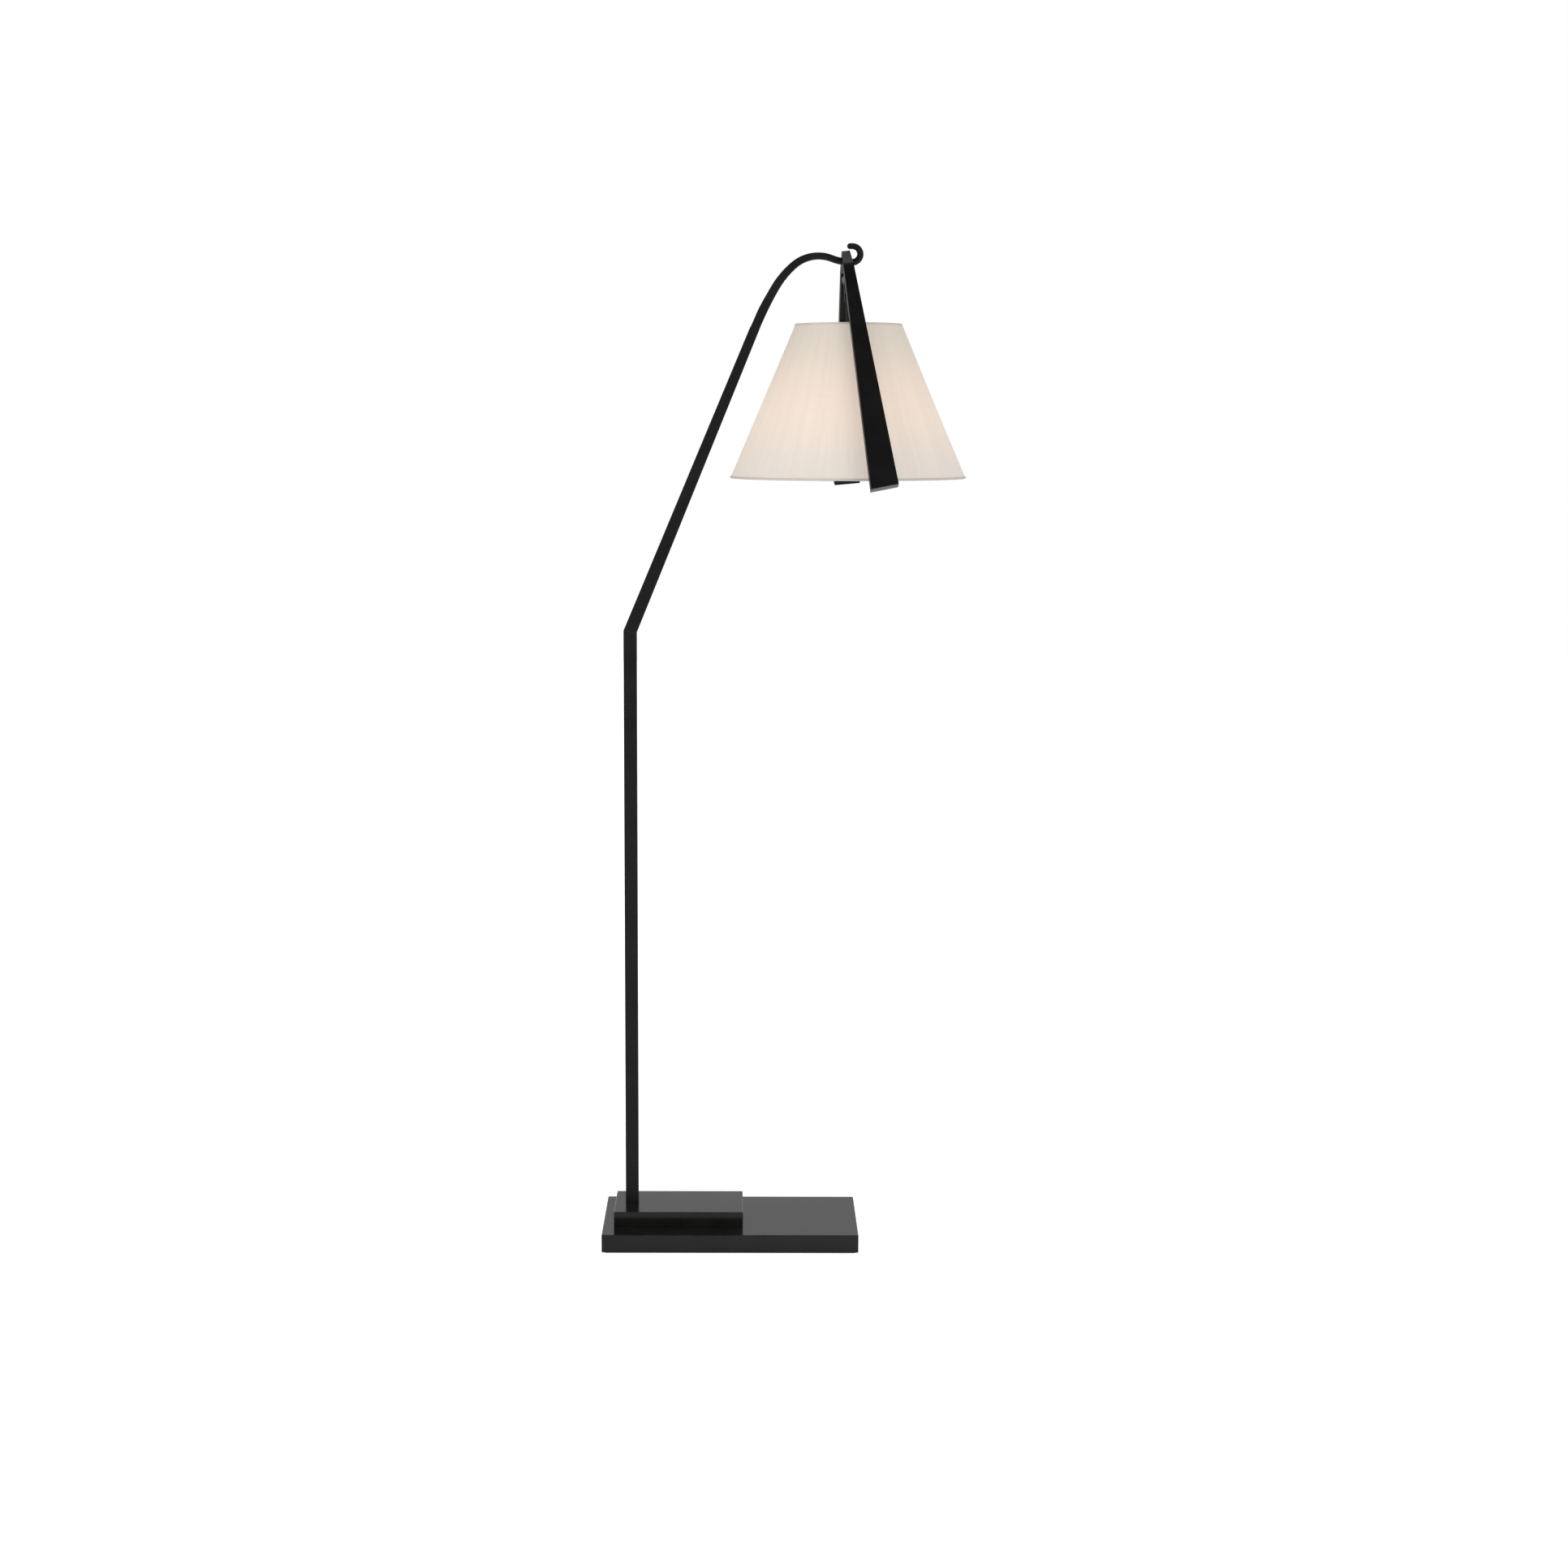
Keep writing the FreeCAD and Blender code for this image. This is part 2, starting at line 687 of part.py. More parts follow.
CAP_OUTSIDE = HOLDER_RADIUS + SOFT_SEAT + HOLDER_WALL
KNOB_BACK = CAP_OUTSIDE + KNOB_STANDOFF
KNOB_BORE_END = KNOB_BACK + KNOB_LENGTH / 2


def hanger_stem():
    """A flat tongue on the pin, a collar, and the threaded stem that carries the shade."""
    centre = pivot()
    half = TONGUE_THICKNESS / 2
    eye = rod(centre - DEEP * half, centre + DEEP * half, EAR_RADIUS)
    collar_top = centre.z - COLLAR_DROP
    low = vector(centre.x - EAR_RADIUS, -half, collar_top)
    web = block_between(low, vector(centre.x + EAR_RADIUS, half, centre.z))
    collar = plumb_rod(centre.x, 0, collar_top - COLLAR_HEIGHT, collar_top, COLLAR_RADIUS)
    stem_end = CAP_TOP - CAP_NECK_HEIGHT
    stem = plumb_rod(centre.x, 0, stem_end, collar_top - COLLAR_HEIGHT, STEM_RADIUS)
    tongue = eye.fuse([web, collar, stem]).removeSplitter()
    hole = rod(centre - DEEP * half, centre + DEEP * half, PIN_RADIUS + RUNNING_GAP)
    return tongue.cut(hole)


def stem_nuts():
    """Two nuts that clamp the shade's hub on the stem."""
    nuts = []
    for bottom in (HUB_TOP, CAP_TOP):
        nut = hex_prism(vector(shade_axis(), 0, bottom), STEM_NUT_WIDTH, STEM_NUT_HEIGHT)
        bore = plumb_rod(shade_axis(), 0, bottom, bottom + STEM_NUT_HEIGHT, STEM_RADIUS + THREAD_GAP)
        nuts.append(nut.cut(bore))
    return Part.makeCompound(nuts)


def shade_radius(height):
    """The fabric's outside radius at a height."""
    return SHADE_TOP_RADIUS + (SHADE_TOP - height) * tan(SHADE_FLARE)


def shade_fabric():
    wall = SHADE_SKIN / cos(SHADE_FLARE)
    points = [
        (SHADE_TOP_RADIUS, SHADE_TOP),
        (SHADE_BOTTOM_RADIUS, SHADE_BOTTOM),
        (SHADE_BOTTOM_RADIUS - wall, SHADE_BOTTOM),
        (SHADE_TOP_RADIUS - wall, SHADE_TOP),
    ]
    return revolved(outline(points), shade_axis())


def ring_radius(height):
    """The middle radius of a wire ring that lies against the fabric's inside."""
    return shade_radius(height) - (SHADE_SKIN + SOFT_SEAT + RING_WIRE_RADIUS) / cos(SHADE_FLARE)


def wire_ring(height, radius):
    """A ring of six-sided wire, round its middle circle."""
    points = []
    for corner in range(WIRE_SIDES):
        turn = corner * FULL_TURN / WIRE_SIDES
        points.append((ring_radius(height) + radius * cos(turn), height + radius * sin(turn)))
    return revolved(outline(points), shade_axis())


def top_ring_level():
    return SHADE_TOP - RING_INSET


def top_ring():
    return wire_ring(top_ring_level(), RING_WIRE_RADIUS)


def bottom_ring():
    return wire_ring(SHADE_BOTTOM + RING_INSET, RING_WIRE_RADIUS)


def binding(edge, side):
    """A folded strip over the fabric's edge. The side is 1 at the top and -1 at the bottom."""
    wall = BINDING_WALL / cos(SHADE_FLARE)
    gap = SOFT_SEAT / cos(SHADE_FLARE)
    skin = SHADE_SKIN / cos(SHADE_FLARE)
    crest = edge + side * (SOFT_SEAT + BINDING_WALL)
    bed = edge + side * SOFT_SEAT
    lap = edge - side * BINDING_LAP
    points = [
        (shade_radius(crest) + gap + wall, crest),
        (shade_radius(lap) + gap + wall, lap),
        (shade_radius(lap) + gap, lap),
        (shade_radius(bed) + gap, bed),
        (shade_radius(bed) - skin - gap, bed),
        (shade_radius(edge) - skin - gap, edge),
        (shade_radius(edge) - skin - gap - wall, edge),
        (shade_radius(crest) - skin - gap - wall, crest),
    ]
    return revolved(outline(points), shade_axis())


def top_binding():
    return binding(SHADE_TOP, 1)


def bottom_binding():
    return binding(SHADE_BOTTOM, -1)


def spider():
    """A hub with three wire spokes that end saddled against the top ring."""
    middle = (HUB_TOP + HUB_BOTTOM) / 2
    hub = tube(shade_axis(), HUB_BOTTOM, HUB_TOP, HUB_RADIUS, STEM_RADIUS + THREAD_GAP * 2)
    spokes = []
    for index in range(SPOKE_COUNT):
        turn = RIGHT_ANGLE + index * FULL_TURN / SPOKE_COUNT
        away = vector(cos(turn), sin(turn), 0)
        start = vector(shade_axis(), 0, middle) + away * (HUB_RADIUS - SPOKE_RADIUS)
        end = vector(shade_axis(), 0, top_ring_level()) + away * ring_radius(top_ring_level())
        spokes.append(rod(start, end, SPOKE_RADIUS))
    saddle = wire_ring(top_ring_level(), RING_WIRE_RADIUS + SOFT_SEAT)
    return hub.fuse(spokes).removeSplitter().cut(saddle)


# ---- lamp holder, bulb and switch

def holder_cap():
    """A domed cap with a threaded neck inside and a side hole for the supply."""
    outside = CAP_OUTSIDE
    inside = HOLDER_RADIUS + SOFT_SEAT
    bore = STEM_RADIUS + THREAD_GAP
    wall = HOLDER_WALL
    bevel = cos(RIGHT_ANGLE / 2)
    brow_radius = CAP_TOP_RADIUS + (outside - CAP_TOP_RADIUS) * bevel
    brow_height = CAP_TOP - CAP_DOME * (1 - bevel)
    points = [
        (bore, CAP_TOP),
        (CAP_TOP_RADIUS, CAP_TOP),
        (brow_radius, brow_height),
        (outside, CAP_TOP - CAP_DOME),
        (outside, CAP_TOP - CAP_HEIGHT),
        (inside, CAP_TOP - CAP_HEIGHT),
        (inside, CAP_TOP - CAP_DOME),
        (brow_radius - wall * bevel, brow_height - wall * bevel),
        (CAP_TOP_RADIUS, CAP_TOP - wall),
        (CAP_NECK_RADIUS, CAP_TOP - wall),
        (CAP_NECK_RADIUS, CAP_TOP - CAP_NECK_HEIGHT),
        (bore, CAP_TOP - CAP_NECK_HEIGHT),
    ]
    cap = revolved(outline(points), shade_axis())
    level = bushing_level()
    hole_end = vector(shade_axis(), outside + wall, level)
    return cap.cut(rod(vector(shade_axis(), 0, level), hole_end, BUSHING_RADIUS + HARD_SEAT))


def bushing_level():
    return CAP_TOP - CAP_DOME - BUSHING_FLANGE_RADIUS


def cord_bushing():
    """A flanged sleeve through the cap's side, where the supply enters."""
    x = shade_axis()
    level = bushing_level()
    outside = CAP_OUTSIDE
    outer = outside + BUSHING_FLANGE
    inner = outer - BUSHING_LENGTH
    sleeve = rod(vector(x, inner, level), vector(x, outer, level), BUSHING_RADIUS)
    flange_start = vector(x, outside - BUSHING_FLANGE, level)
    flange = rod(flange_start, vector(x, outer, level), BUSHING_FLANGE_RADIUS)
    low = level - BUSHING_FLANGE_RADIUS
    body = plumb_rod(x, 0, low, level + BUSHING_FLANGE_RADIUS, outside + SOFT_SEAT)
    bore = rod(vector(x, inner, level), vector(x, outer, level), BUSHING_BORE_RADIUS)
    return sleeve.fuse(flange.cut(body)).removeSplitter().cut(bore)


def switch_line(start, end, radius):
    """A level rod towards the viewer, at the switch's height."""
    x = shade_axis()
    return rod(vector(x, -start, SWITCH_LEVEL), vector(x, -end, SWITCH_LEVEL), radius)


def switch_hole():
    return switch_line(0, KNOB_BACK, SWITCH_SHAFT_RADIUS + SWITCH_HOLE_GAP)


def holder_shell():
    inside = HOLDER_RADIUS - HOLDER_WALL
    shell = tube(shade_axis(), HOLDER_BOTTOM, HOLDER_TOP, HOLDER_RADIUS, inside)
    return shell.cut(switch_hole())


def holder_liner():
    liner = tube(shade_axis(), HOLDER_BOTTOM, HOLDER_TOP, LINER_OUTSIDE, LINER_INSIDE)
    return liner.cut(switch_hole())


def holder_core():
    """The insulating body that carries the switch and the contacts."""
    core = plumb_rod(shade_axis(), 0, CORE_BOTTOM, CORE_TOP, CORE_RADIUS)
    return core.cut(switch_line(0, HOLDER_RADIUS, SWITCH_SHAFT_RADIUS + RUNNING_GAP))


def screw_shell():
    return tube(shade_axis(), CORE_BOTTOM - SCREW_SHELL_HEIGHT, CORE_BOTTOM, SCREW_SHELL_RADIUS,
                SCREW_SHELL_RADIUS - SCREW_SHELL_WALL)


def centre_contact():
    """A folded spring strip under the core, against the bulb's tip."""
    x = shade_axis()
    half = CONTACT_WIDTH / 2
    upper_low = vector(x - CONTACT_LENGTH / 2, -half, CORE_BOTTOM - CONTACT_THICKNESS)
    upper = block_between(upper_low, vector(x + CONTACT_LENGTH / 2, half, CORE_BOTTOM))
    lower_low = vector(x - half, -half, CORE_BOTTOM - 2 * CONTACT_THICKNESS)
    lower = block_between(lower_low, vector(x + half, half, CORE_BOTTOM - CONTACT_THICKNESS))
    return upper.fuse(lower).removeSplitter()


def bulb_cap():
    """The bulb's metal cap: a short cone to the tip, and a thin-walled sleeve below."""
    bottom = BULB_CAP_TOP - BULB_CAP_HEIGHT
    shoulder = BULB_CAP_TOP - BULB_TIP_HEIGHT
    inner = BULB_CAP_RADIUS - BULB_CAP_WALL
    points = [
        (0, BULB_TIP),
        (BULB_TIP_RADIUS, BULB_TIP),
        (BULB_TIP_RADIUS, BULB_CAP_TOP),
        (BULB_CAP_RADIUS, shoulder),
        (BULB_CAP_RADIUS, bottom),
        (inner, bottom),
        (inner, shoulder - BULB_CAP_WALL),
        (0, shoulder - BULB_CAP_WALL),
    ]
    return revolved(outline(points), shade_axis())


def bulb_profile(neck_radius, globe_radius):
    """Points of a pear outline, from the neck's top down to the globe's lowest point."""
    neck_top = BULB_CAP_TOP - BULB_CAP_HEIGHT / 2
    globe_level = BULB_TIP - BULB_LENGTH + BULB_RADIUS
    points = [(neck_radius, neck_top), (neck_radius, neck_top - BULB_CAP_HEIGHT / 2 - BULB_NECK_HEIGHT)]
    for step in range(BULB_GLOBE_STEPS + 1):
        angle = BULB_CHEEK_ANGLE - step * (BULB_CHEEK_ANGLE + RIGHT_ANGLE) / BULB_GLOBE_STEPS
        points.append((globe_radius * cos(angle), globe_level + globe_radius * sin(angle)))
    return points


def bulb_glass():
    """A pear-shaped glass shell, open at its neck inside the cap."""
    neck = BULB_CAP_RADIUS - BULB_CAP_WALL - SOFT_SEAT
    outside = bulb_profile(neck, BULB_RADIUS)
    inside = bulb_profile(neck - BULB_WALL, BULB_RADIUS - BULB_WALL)
    return revolved(outline(outside + inside[::-1]), shade_axis())


def switch_shaft():
    return switch_line(SWITCH_SHAFT_ENTRY, KNOB_BORE_END, SWITCH_SHAFT_RADIUS)


def switch_knob():
    """A fluted knob with a bored back, pushed on the shaft."""
    end = KNOB_BACK + KNOB_LENGTH
    knob = switch_line(KNOB_BACK, end, KNOB_RADIUS)
    for index in range(KNOB_FLUTES):
        turn = index * FULL_TURN / KNOB_FLUTES
        flute = switch_line(KNOB_BACK + KNOB_WAIST, end, KNOB_FLUTE_RADIUS)
        flute.translate(vector(KNOB_RADIUS * cos(turn), 0, KNOB_RADIUS * sin(turn)))
        knob = knob.cut(flute)
    return knob.cut(switch_line(KNOB_BACK, KNOB_BORE_END, SWITCH_SHAFT_RADIUS + THREAD_GAP))


PIECES = (
    felt_pad, base_plate, base_block, block_screws, post_bolt, post_washer, post, arm,
    yoke, yoke_bridge, hanger_fork, hanger_nut, hanger_pin,
    hanger_stem, stem_nuts, spider, top_ring, bottom_ring, shade_fabric, top_binding,
    bottom_binding, holder_cap, cord_bushing, holder_shell, holder_liner, holder_core,
    screw_shell, centre_contact, bulb_cap, bulb_glass,
    switch_shaft, switch_knob,
)

os.makedirs("parts", exist_ok=True)
for piece in PIECES:
    shape = piece()
    shape.exportStep("parts/" + piece.__name__ + ".step")
    print(piece.__name__, len(shape.Solids), shape.isValid(), round(shape.Volume))
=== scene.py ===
import math

import bmesh
import bpy
from mathutils import Matrix, Vector


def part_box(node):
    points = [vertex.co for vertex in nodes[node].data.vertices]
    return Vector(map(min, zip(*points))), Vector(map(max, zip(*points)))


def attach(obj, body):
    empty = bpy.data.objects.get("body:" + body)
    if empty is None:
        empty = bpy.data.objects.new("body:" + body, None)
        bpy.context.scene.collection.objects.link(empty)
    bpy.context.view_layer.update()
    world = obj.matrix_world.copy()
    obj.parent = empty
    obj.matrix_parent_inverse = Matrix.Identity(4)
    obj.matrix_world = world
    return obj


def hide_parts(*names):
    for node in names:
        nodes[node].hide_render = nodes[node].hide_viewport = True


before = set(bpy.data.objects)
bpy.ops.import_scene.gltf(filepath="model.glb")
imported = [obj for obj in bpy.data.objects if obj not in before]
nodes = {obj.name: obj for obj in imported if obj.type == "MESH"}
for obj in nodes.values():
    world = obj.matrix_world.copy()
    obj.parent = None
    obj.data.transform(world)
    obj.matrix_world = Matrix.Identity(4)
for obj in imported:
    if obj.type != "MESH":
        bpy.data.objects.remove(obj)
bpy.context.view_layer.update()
fullTurn = 2 * math.pi
print("frame loaded,", len(nodes), "solids")


# small helpers for meshes

def linked(name, mesh):
    piece = bpy.data.objects.new(name, mesh)
    bpy.context.scene.collection.objects.link(piece)
    return piece


def meshPiece(name, points, faces, smooth=True):
    mesh = bpy.data.meshes.new(name)
    mesh.from_pydata(points, [], faces)
    build = bmesh.new()
    build.from_mesh(mesh)
    bmesh.ops.recalc_face_normals(build, faces=build.faces)
    build.to_mesh(mesh)
    build.free()
    mesh.polygons.foreach_set("use_smooth", [smooth] * len(mesh.polygons))
    return linked(name, mesh)


def gridFaces(rows, columns, closeRows=False):
    # quads over a grid of points kept row after row, each row a closed loop
    faces = []
    for row in range(rows if closeRows else rows - 1):
        for column in range(columns):
            nextRow, nextColumn = (row + 1) % rows, (column + 1) % columns
            faces.append((row * columns + column, row * columns + nextColumn,
                          nextRow * columns + nextColumn, nextRow * columns + column))
    return faces


def endFaces(rows, columns):
    # the two flat faces that shut a tube of such a grid
    return [tuple(range(columns)), tuple((rows - 1) * columns + column for column in range(columns))]


def turned(name, outline, centre, steps):
    # a closed outline of (radius, height) points turned round an upright axis
    points = []
    for radius, height in outline:
        for step in range(steps):
            angle = step * fullTurn / steps
            points.append((centre[0] + radius * math.cos(angle), centre[1] + radius * math.sin(angle),
                           centre[2] + height))
    piece = meshPiece(name, points, gridFaces(len(outline), steps, closeRows=True))
    weldPoles(piece)
    return piece


def weldPoles(piece):
    build = bmesh.new()
    build.from_mesh(piece.data)
    bmesh.ops.remove_doubles(build, verts=build.verts, dist=1e-6)
    loose = [edge for edge in build.edges if not edge.link_faces]
    bmesh.ops.delete(build, geom=loose, context="EDGES")
    bmesh.ops.recalc_face_normals(build, faces=build.faces)
    build.to_mesh(piece.data)
    build.free()


def wireAlong(name, path, radius, sides, closed=False):
    # a round wire whose section follows a path of points
    points = []
    count = len(path)
    for index, here in enumerate(path):
        before = path[(index - 1) % count] if closed or index else here
        after = path[(index + 1) % count] if closed or index < count - 1 else here
        ahead = (after - before).normalized()
        side = ahead.cross(Vector((0, 0, 1))).normalized()
        up = side.cross(ahead)
        for step in range(sides):
            angle = step * fullTurn / sides
            points.append(here + (side * math.cos(angle) + up * math.sin(angle)) * radius)
    faces = gridFaces(count, sides, closeRows=closed)
    if not closed:
        faces += endFaces(count, sides)
    return meshPiece(name, points, faces)


def joined(name, parts):
    # several meshes made into one piece
    build = bmesh.new()
    for part in parts:
        build.from_mesh(part.data)
    mesh = bpy.data.meshes.new(name)
    build.to_mesh(mesh)
    build.free()
    for part in parts:
        bpy.data.objects.remove(part)
    return linked(name, mesh)


def roundedBar(halfThick, halfHigh, steps, squareness):
    # a soft-cornered closed section
    section = []
    for step in range(steps):
        angle = step * fullTurn / steps
        across, up = math.cos(angle), math.sin(angle)
        section.append((math.copysign(abs(across) ** (2 / squareness), across) * halfThick,
                        math.copysign(abs(up) ** (2 / squareness), up) * halfHigh))
    return section


def finishPiece(piece, material, body, slot, *replaced):
    piece.data.materials.append(material)
    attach(piece, body)
    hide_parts(*replaced)


# small helpers for materials

def startMaterial(name):
    material = bpy.data.materials.new(name)
    material.use_nodes = True
    return material, material.node_tree, material.node_tree.nodes["Principled BSDF"]


def feed(tree, socket, value):
    # a socket takes a plain value or another node's output
    if isinstance(value, (int, float)):
        socket.default_value = value
    elif isinstance(value, tuple):
        socket.default_value = (*value, 1)
    else:
        tree.links.new(value, socket)


def mathNode(tree, operation, first, second, clamp=False):
    node = tree.nodes.new("ShaderNodeMath")
    node.operation = operation
    node.use_clamp = clamp
    feed(tree, node.inputs[0], first)
    feed(tree, node.inputs[1], second)
    return node.outputs[0]


def weighted(tree, first, second, firstShare, secondShare):
    return mathNode(tree, "ADD", mathNode(tree, "MULTIPLY", first, firstShare),
                    mathNode(tree, "MULTIPLY", second, secondShare))


def rampNode(tree, factor, stops, blend="LINEAR"):
    node = tree.nodes.new("ShaderNodeValToRGB")
    ramp = node.color_ramp
    ramp.interpolation = blend
    while len(ramp.elements) < len(stops):
        ramp.elements.new(0.5)
    for element, (place, colour) in zip(ramp.elements, stops):
        element.position = place
        element.color = (*colour, 1)
    tree.links.new(factor, node.inputs["Fac"])
    return node.outputs["Color"]


def rangeNode(tree, value, low, high, outLow, outHigh):
    node = tree.nodes.new("ShaderNodeMapRange")
    for socket, number in zip(list(node.inputs)[1:5], (low, high, outLow, outHigh)):
        socket.default_value = number
    tree.links.new(value, node.inputs["Value"])
    return node.outputs["Result"]


def stretched(tree, vector, stretch):
    mapping = tree.nodes.new("ShaderNodeMapping")
    mapping.inputs["Scale"].default_value = stretch
    tree.links.new(vector, mapping.inputs["Vector"])
    return mapping.outputs["Vector"]


def coordinate(tree, source="Object"):
    return tree.nodes.new("ShaderNodeTexCoord").outputs[source]


def upDown(tree, vector, axis="Z"):
    split = tree.nodes.new("ShaderNodeSeparateXYZ")
    tree.links.new(vector, split.inputs["Vector"])
    return split.outputs[axis]


def noiseNode(tree, vector, scale, detail=3.0, roughness=0.55):
    node = tree.nodes.new("ShaderNodeTexNoise")
    node.inputs["Scale"].default_value = scale
    node.inputs["Detail"].default_value = detail
    node.inputs["Roughness"].default_value = roughness
    tree.links.new(vector, node.inputs["Vector"])
    return node.outputs["Fac"]


def bumpNode(tree, height, strength, distance, under=None):
    node = tree.nodes.new("ShaderNodeBump")
    node.inputs["Strength"].default_value = strength
    node.inputs["Distance"].default_value = distance
    tree.links.new(height, node.inputs["Height"])
    if under is not None:
        tree.links.new(under, node.inputs["Normal"])
    return node.outputs["Normal"]


def edgeMask(tree, width, reach):
    # 1 close to an arris and 0 on the flats
    bevel = tree.nodes.new("ShaderNodeBevel")
    bevel.samples = 4
    bevel.inputs["Radius"].default_value = width
    geometry = tree.nodes.new("ShaderNodeNewGeometry")
    dot = tree.nodes.new("ShaderNodeVectorMath")
    dot.operation = "DOT_PRODUCT"
    tree.links.new(bevel.outputs["Normal"], dot.inputs[0])
    tree.links.new(geometry.outputs["Normal"], dot.inputs[1])
    return rangeNode(tree, dot.outputs["Value"], 1.0, 1.0 - reach, 0.0, 1.0)


def mixedColour(tree, factor, first, second, blend="MIX"):
    node = tree.nodes.new("ShaderNodeMix")
    node.data_type, node.blend_type = "RGBA", blend
    feed(tree, node.inputs[0], factor)
    feed(tree, node.inputs[6], first)
    feed(tree, node.inputs[7], second)
    return node.outputs[2]


# camera where the photograph was taken from, and the size of its view

camera = {
    "place": (0.01986, -3.71652, 1.22357),
    "tiltDown": 0.1194,
    "roll": 0.0014,
    "lens": 58.395,
    "sensor": 36.0,
    "shift": (0.02538, -0.04),
    "clip": (0.05, 100.0),
}


def makeCamera():
    data = bpy.data.cameras.new("photoCamera")
    data.lens = camera["lens"]
    data.sensor_width = camera["sensor"]
    data.shift_x, data.shift_y = camera["shift"]
    data.clip_start, data.clip_end = camera["clip"]
    eye = linked("photoCamera", data)
    level = Matrix.Rotation(math.pi / 2 - camera["tiltDown"], 4, "X")
    roll = Matrix.Rotation(camera["roll"], 4, "Z")
    eye.matrix_world = Matrix.Translation(camera["place"]) @ level @ roll
    bpy.context.scene.camera = eye


makeCamera()
print("camera placed")


# satin black lacquer over iron, in four weights

lacquer = {
    "base": {"dark": (0.0062, 0.0061, 0.0054), "light": (0.0105, 0.0103, 0.0092), "rough": (0.12, 0.17),
             "shine": 0.30, "grain": 0.03, "hammer": 0.01, "wearAndGlint": (0.030, 0.029, 0.027),
             "tint": (0.86, 0.89, 1.0)},
    "forged": {"dark": (0.0050, 0.0049, 0.0048), "light": (0.0090, 0.0088, 0.0086), "rough": (0.38, 0.48),
               "shine": 0.20, "grain": 0.12, "hammer": 0.10, "wearAndGlint": (0.030, 0.029, 0.028),
               "tint": (0.97, 0.98, 1.0)},
    "yoke": {"dark": (0.0034, 0.0034, 0.0036), "light": (0.0062, 0.0062, 0.0065), "rough": (0.34, 0.44),
             "shine": 0.16, "grain": 0.10, "hammer": 0.08, "wearAndGlint": (0.026, 0.026, 0.026),
             "tint": (0.97, 0.98, 1.0), "floorLitGrey": (0.150, 0.148, 0.145)},
    "hanger": {"dark": (0.0040, 0.0039, 0.0038), "light": (0.0080, 0.0078, 0.0076), "rough": (0.34, 0.44),
               "shine": 0.18, "grain": 0.12, "hammer": 0.06, "wearAndGlint": (0.030, 0.029, 0.028),
               "tint": (0.97, 0.97, 1.0)},
}
ironGrain = {
    "cloud": 16.0, "cloudDetail": 5.0, "cloudSpread": (0.30, 0.72),
    "fine": 900.0, "fineDetail": 2.0, "fineDepth": 0.00025, "fineShare": 0.35,
    "dents": 95.0, "dentDetail": 1.5, "dentRough": 0.4, "dentDepth": 0.0012,
    "patches": 60.0, "patchSpread": (0.42, 0.68), "patchLeast": 0.15,
    "edgeWidth": 0.0011, "edgeReach": 0.05,
    "roughSpread": (0.45, 0.95),
    "floorLitFacing": (-0.80, -0.86),     # how far down a face must look to get the painted floor light
    "glassiness": 1.5,
}


def blackIron(name, look):
    material, tree, shader = startMaterial(name)
    grain = ironGrain
    coords = coordinate(tree)
    cloudy = noiseNode(tree, coords, grain["cloud"], grain["cloudDetail"])
    fine = noiseNode(tree, coords, grain["fine"], grain["fineDetail"])
    dents = noiseNode(tree, coords, grain["dents"], grain["dentDetail"], grain["dentRough"])
    patches = rangeNode(tree, noiseNode(tree, coords, grain["patches"]), *grain["patchSpread"],
                        grain["patchLeast"], 1.0)
    start, end = grain["cloudSpread"]
    colour = rampNode(tree, cloudy, [(start, look["dark"]), (end, look["light"])])
    # lighter along the arrises, in patches: edge wear, and a painted highlight on the edges
    edges = edgeMask(tree, grain["edgeWidth"], grain["edgeReach"])
    wearAndGlint = mathNode(tree, "MULTIPLY", edges, patches, clamp=True)
    colour = mixedColour(tree, wearAndGlint, colour, look["wearAndGlint"])
    if "floorLitGrey" in look:      # painted light: faces turned down to the pale floor are made pale grey
        downward = upDown(tree, coordinate(tree, "Normal"))
        floorLitShare = rangeNode(tree, downward, *grain["floorLitFacing"], 0.0, 1.0)
        colour = mixedColour(tree, floorLitShare, colour, look["floorLitGrey"])
    tree.links.new(colour, shader.inputs["Base Color"])
    uneven = mathNode(tree, "ADD", cloudy, mathNode(tree, "MULTIPLY", fine, grain["fineShare"]))
    tree.links.new(rangeNode(tree, uneven, *grain["roughSpread"], *look["rough"]), shader.inputs["Roughness"])
    shader.inputs["Specular IOR Level"].default_value = look["shine"]
    shader.inputs["IOR"].default_value = grain["glassiness"]
    shader.inputs["Specular Tint"].default_value = (*look["tint"], 1.0)
    rolled = bumpNode(tree, dents, look["hammer"], grain["dentDepth"])
    tree.links.new(bumpNode(tree, fine, look["grain"], grain["fineDepth"], rolled), shader.inputs["Normal"])
    return material


# plated and turned metals of the lamp holder, wires and screws

metal = {
    "fixings": {"colour": (0.20, 0.195, 0.185), "dull": (0.11, 0.107, 0.10), "rough": (0.30, 0.46)},
    "wire": {"colour": (0.62, 0.59, 0.54), "dull": (0.44, 0.41, 0.37), "rough": (0.28, 0.42)},
    "holder": {"colour": (0.66, 0.47, 0.21), "dull": (0.44, 0.30, 0.13), "rough": (0.20, 0.36)},
    "contact": {"colour": (0.78, 0.58, 0.28), "dull": (0.55, 0.38, 0.17), "rough": (0.22, 0.34)},
    "bulbCap": {"colour": (0.72, 0.72, 0.71), "dull": (0.50, 0.50, 0.49), "rough": (0.22, 0.38)},
}
metalGrain = {
    "cloud": 70.0, "cloudDetail": 5.0, "cloudSpread": (0.32, 0.66), "roughSpread": (0.3, 0.75),
    "toolMarks": (40, 40, 1600), "markDetail": 2.0, "markBump": 0.12, "markDepth": 0.0001,
}


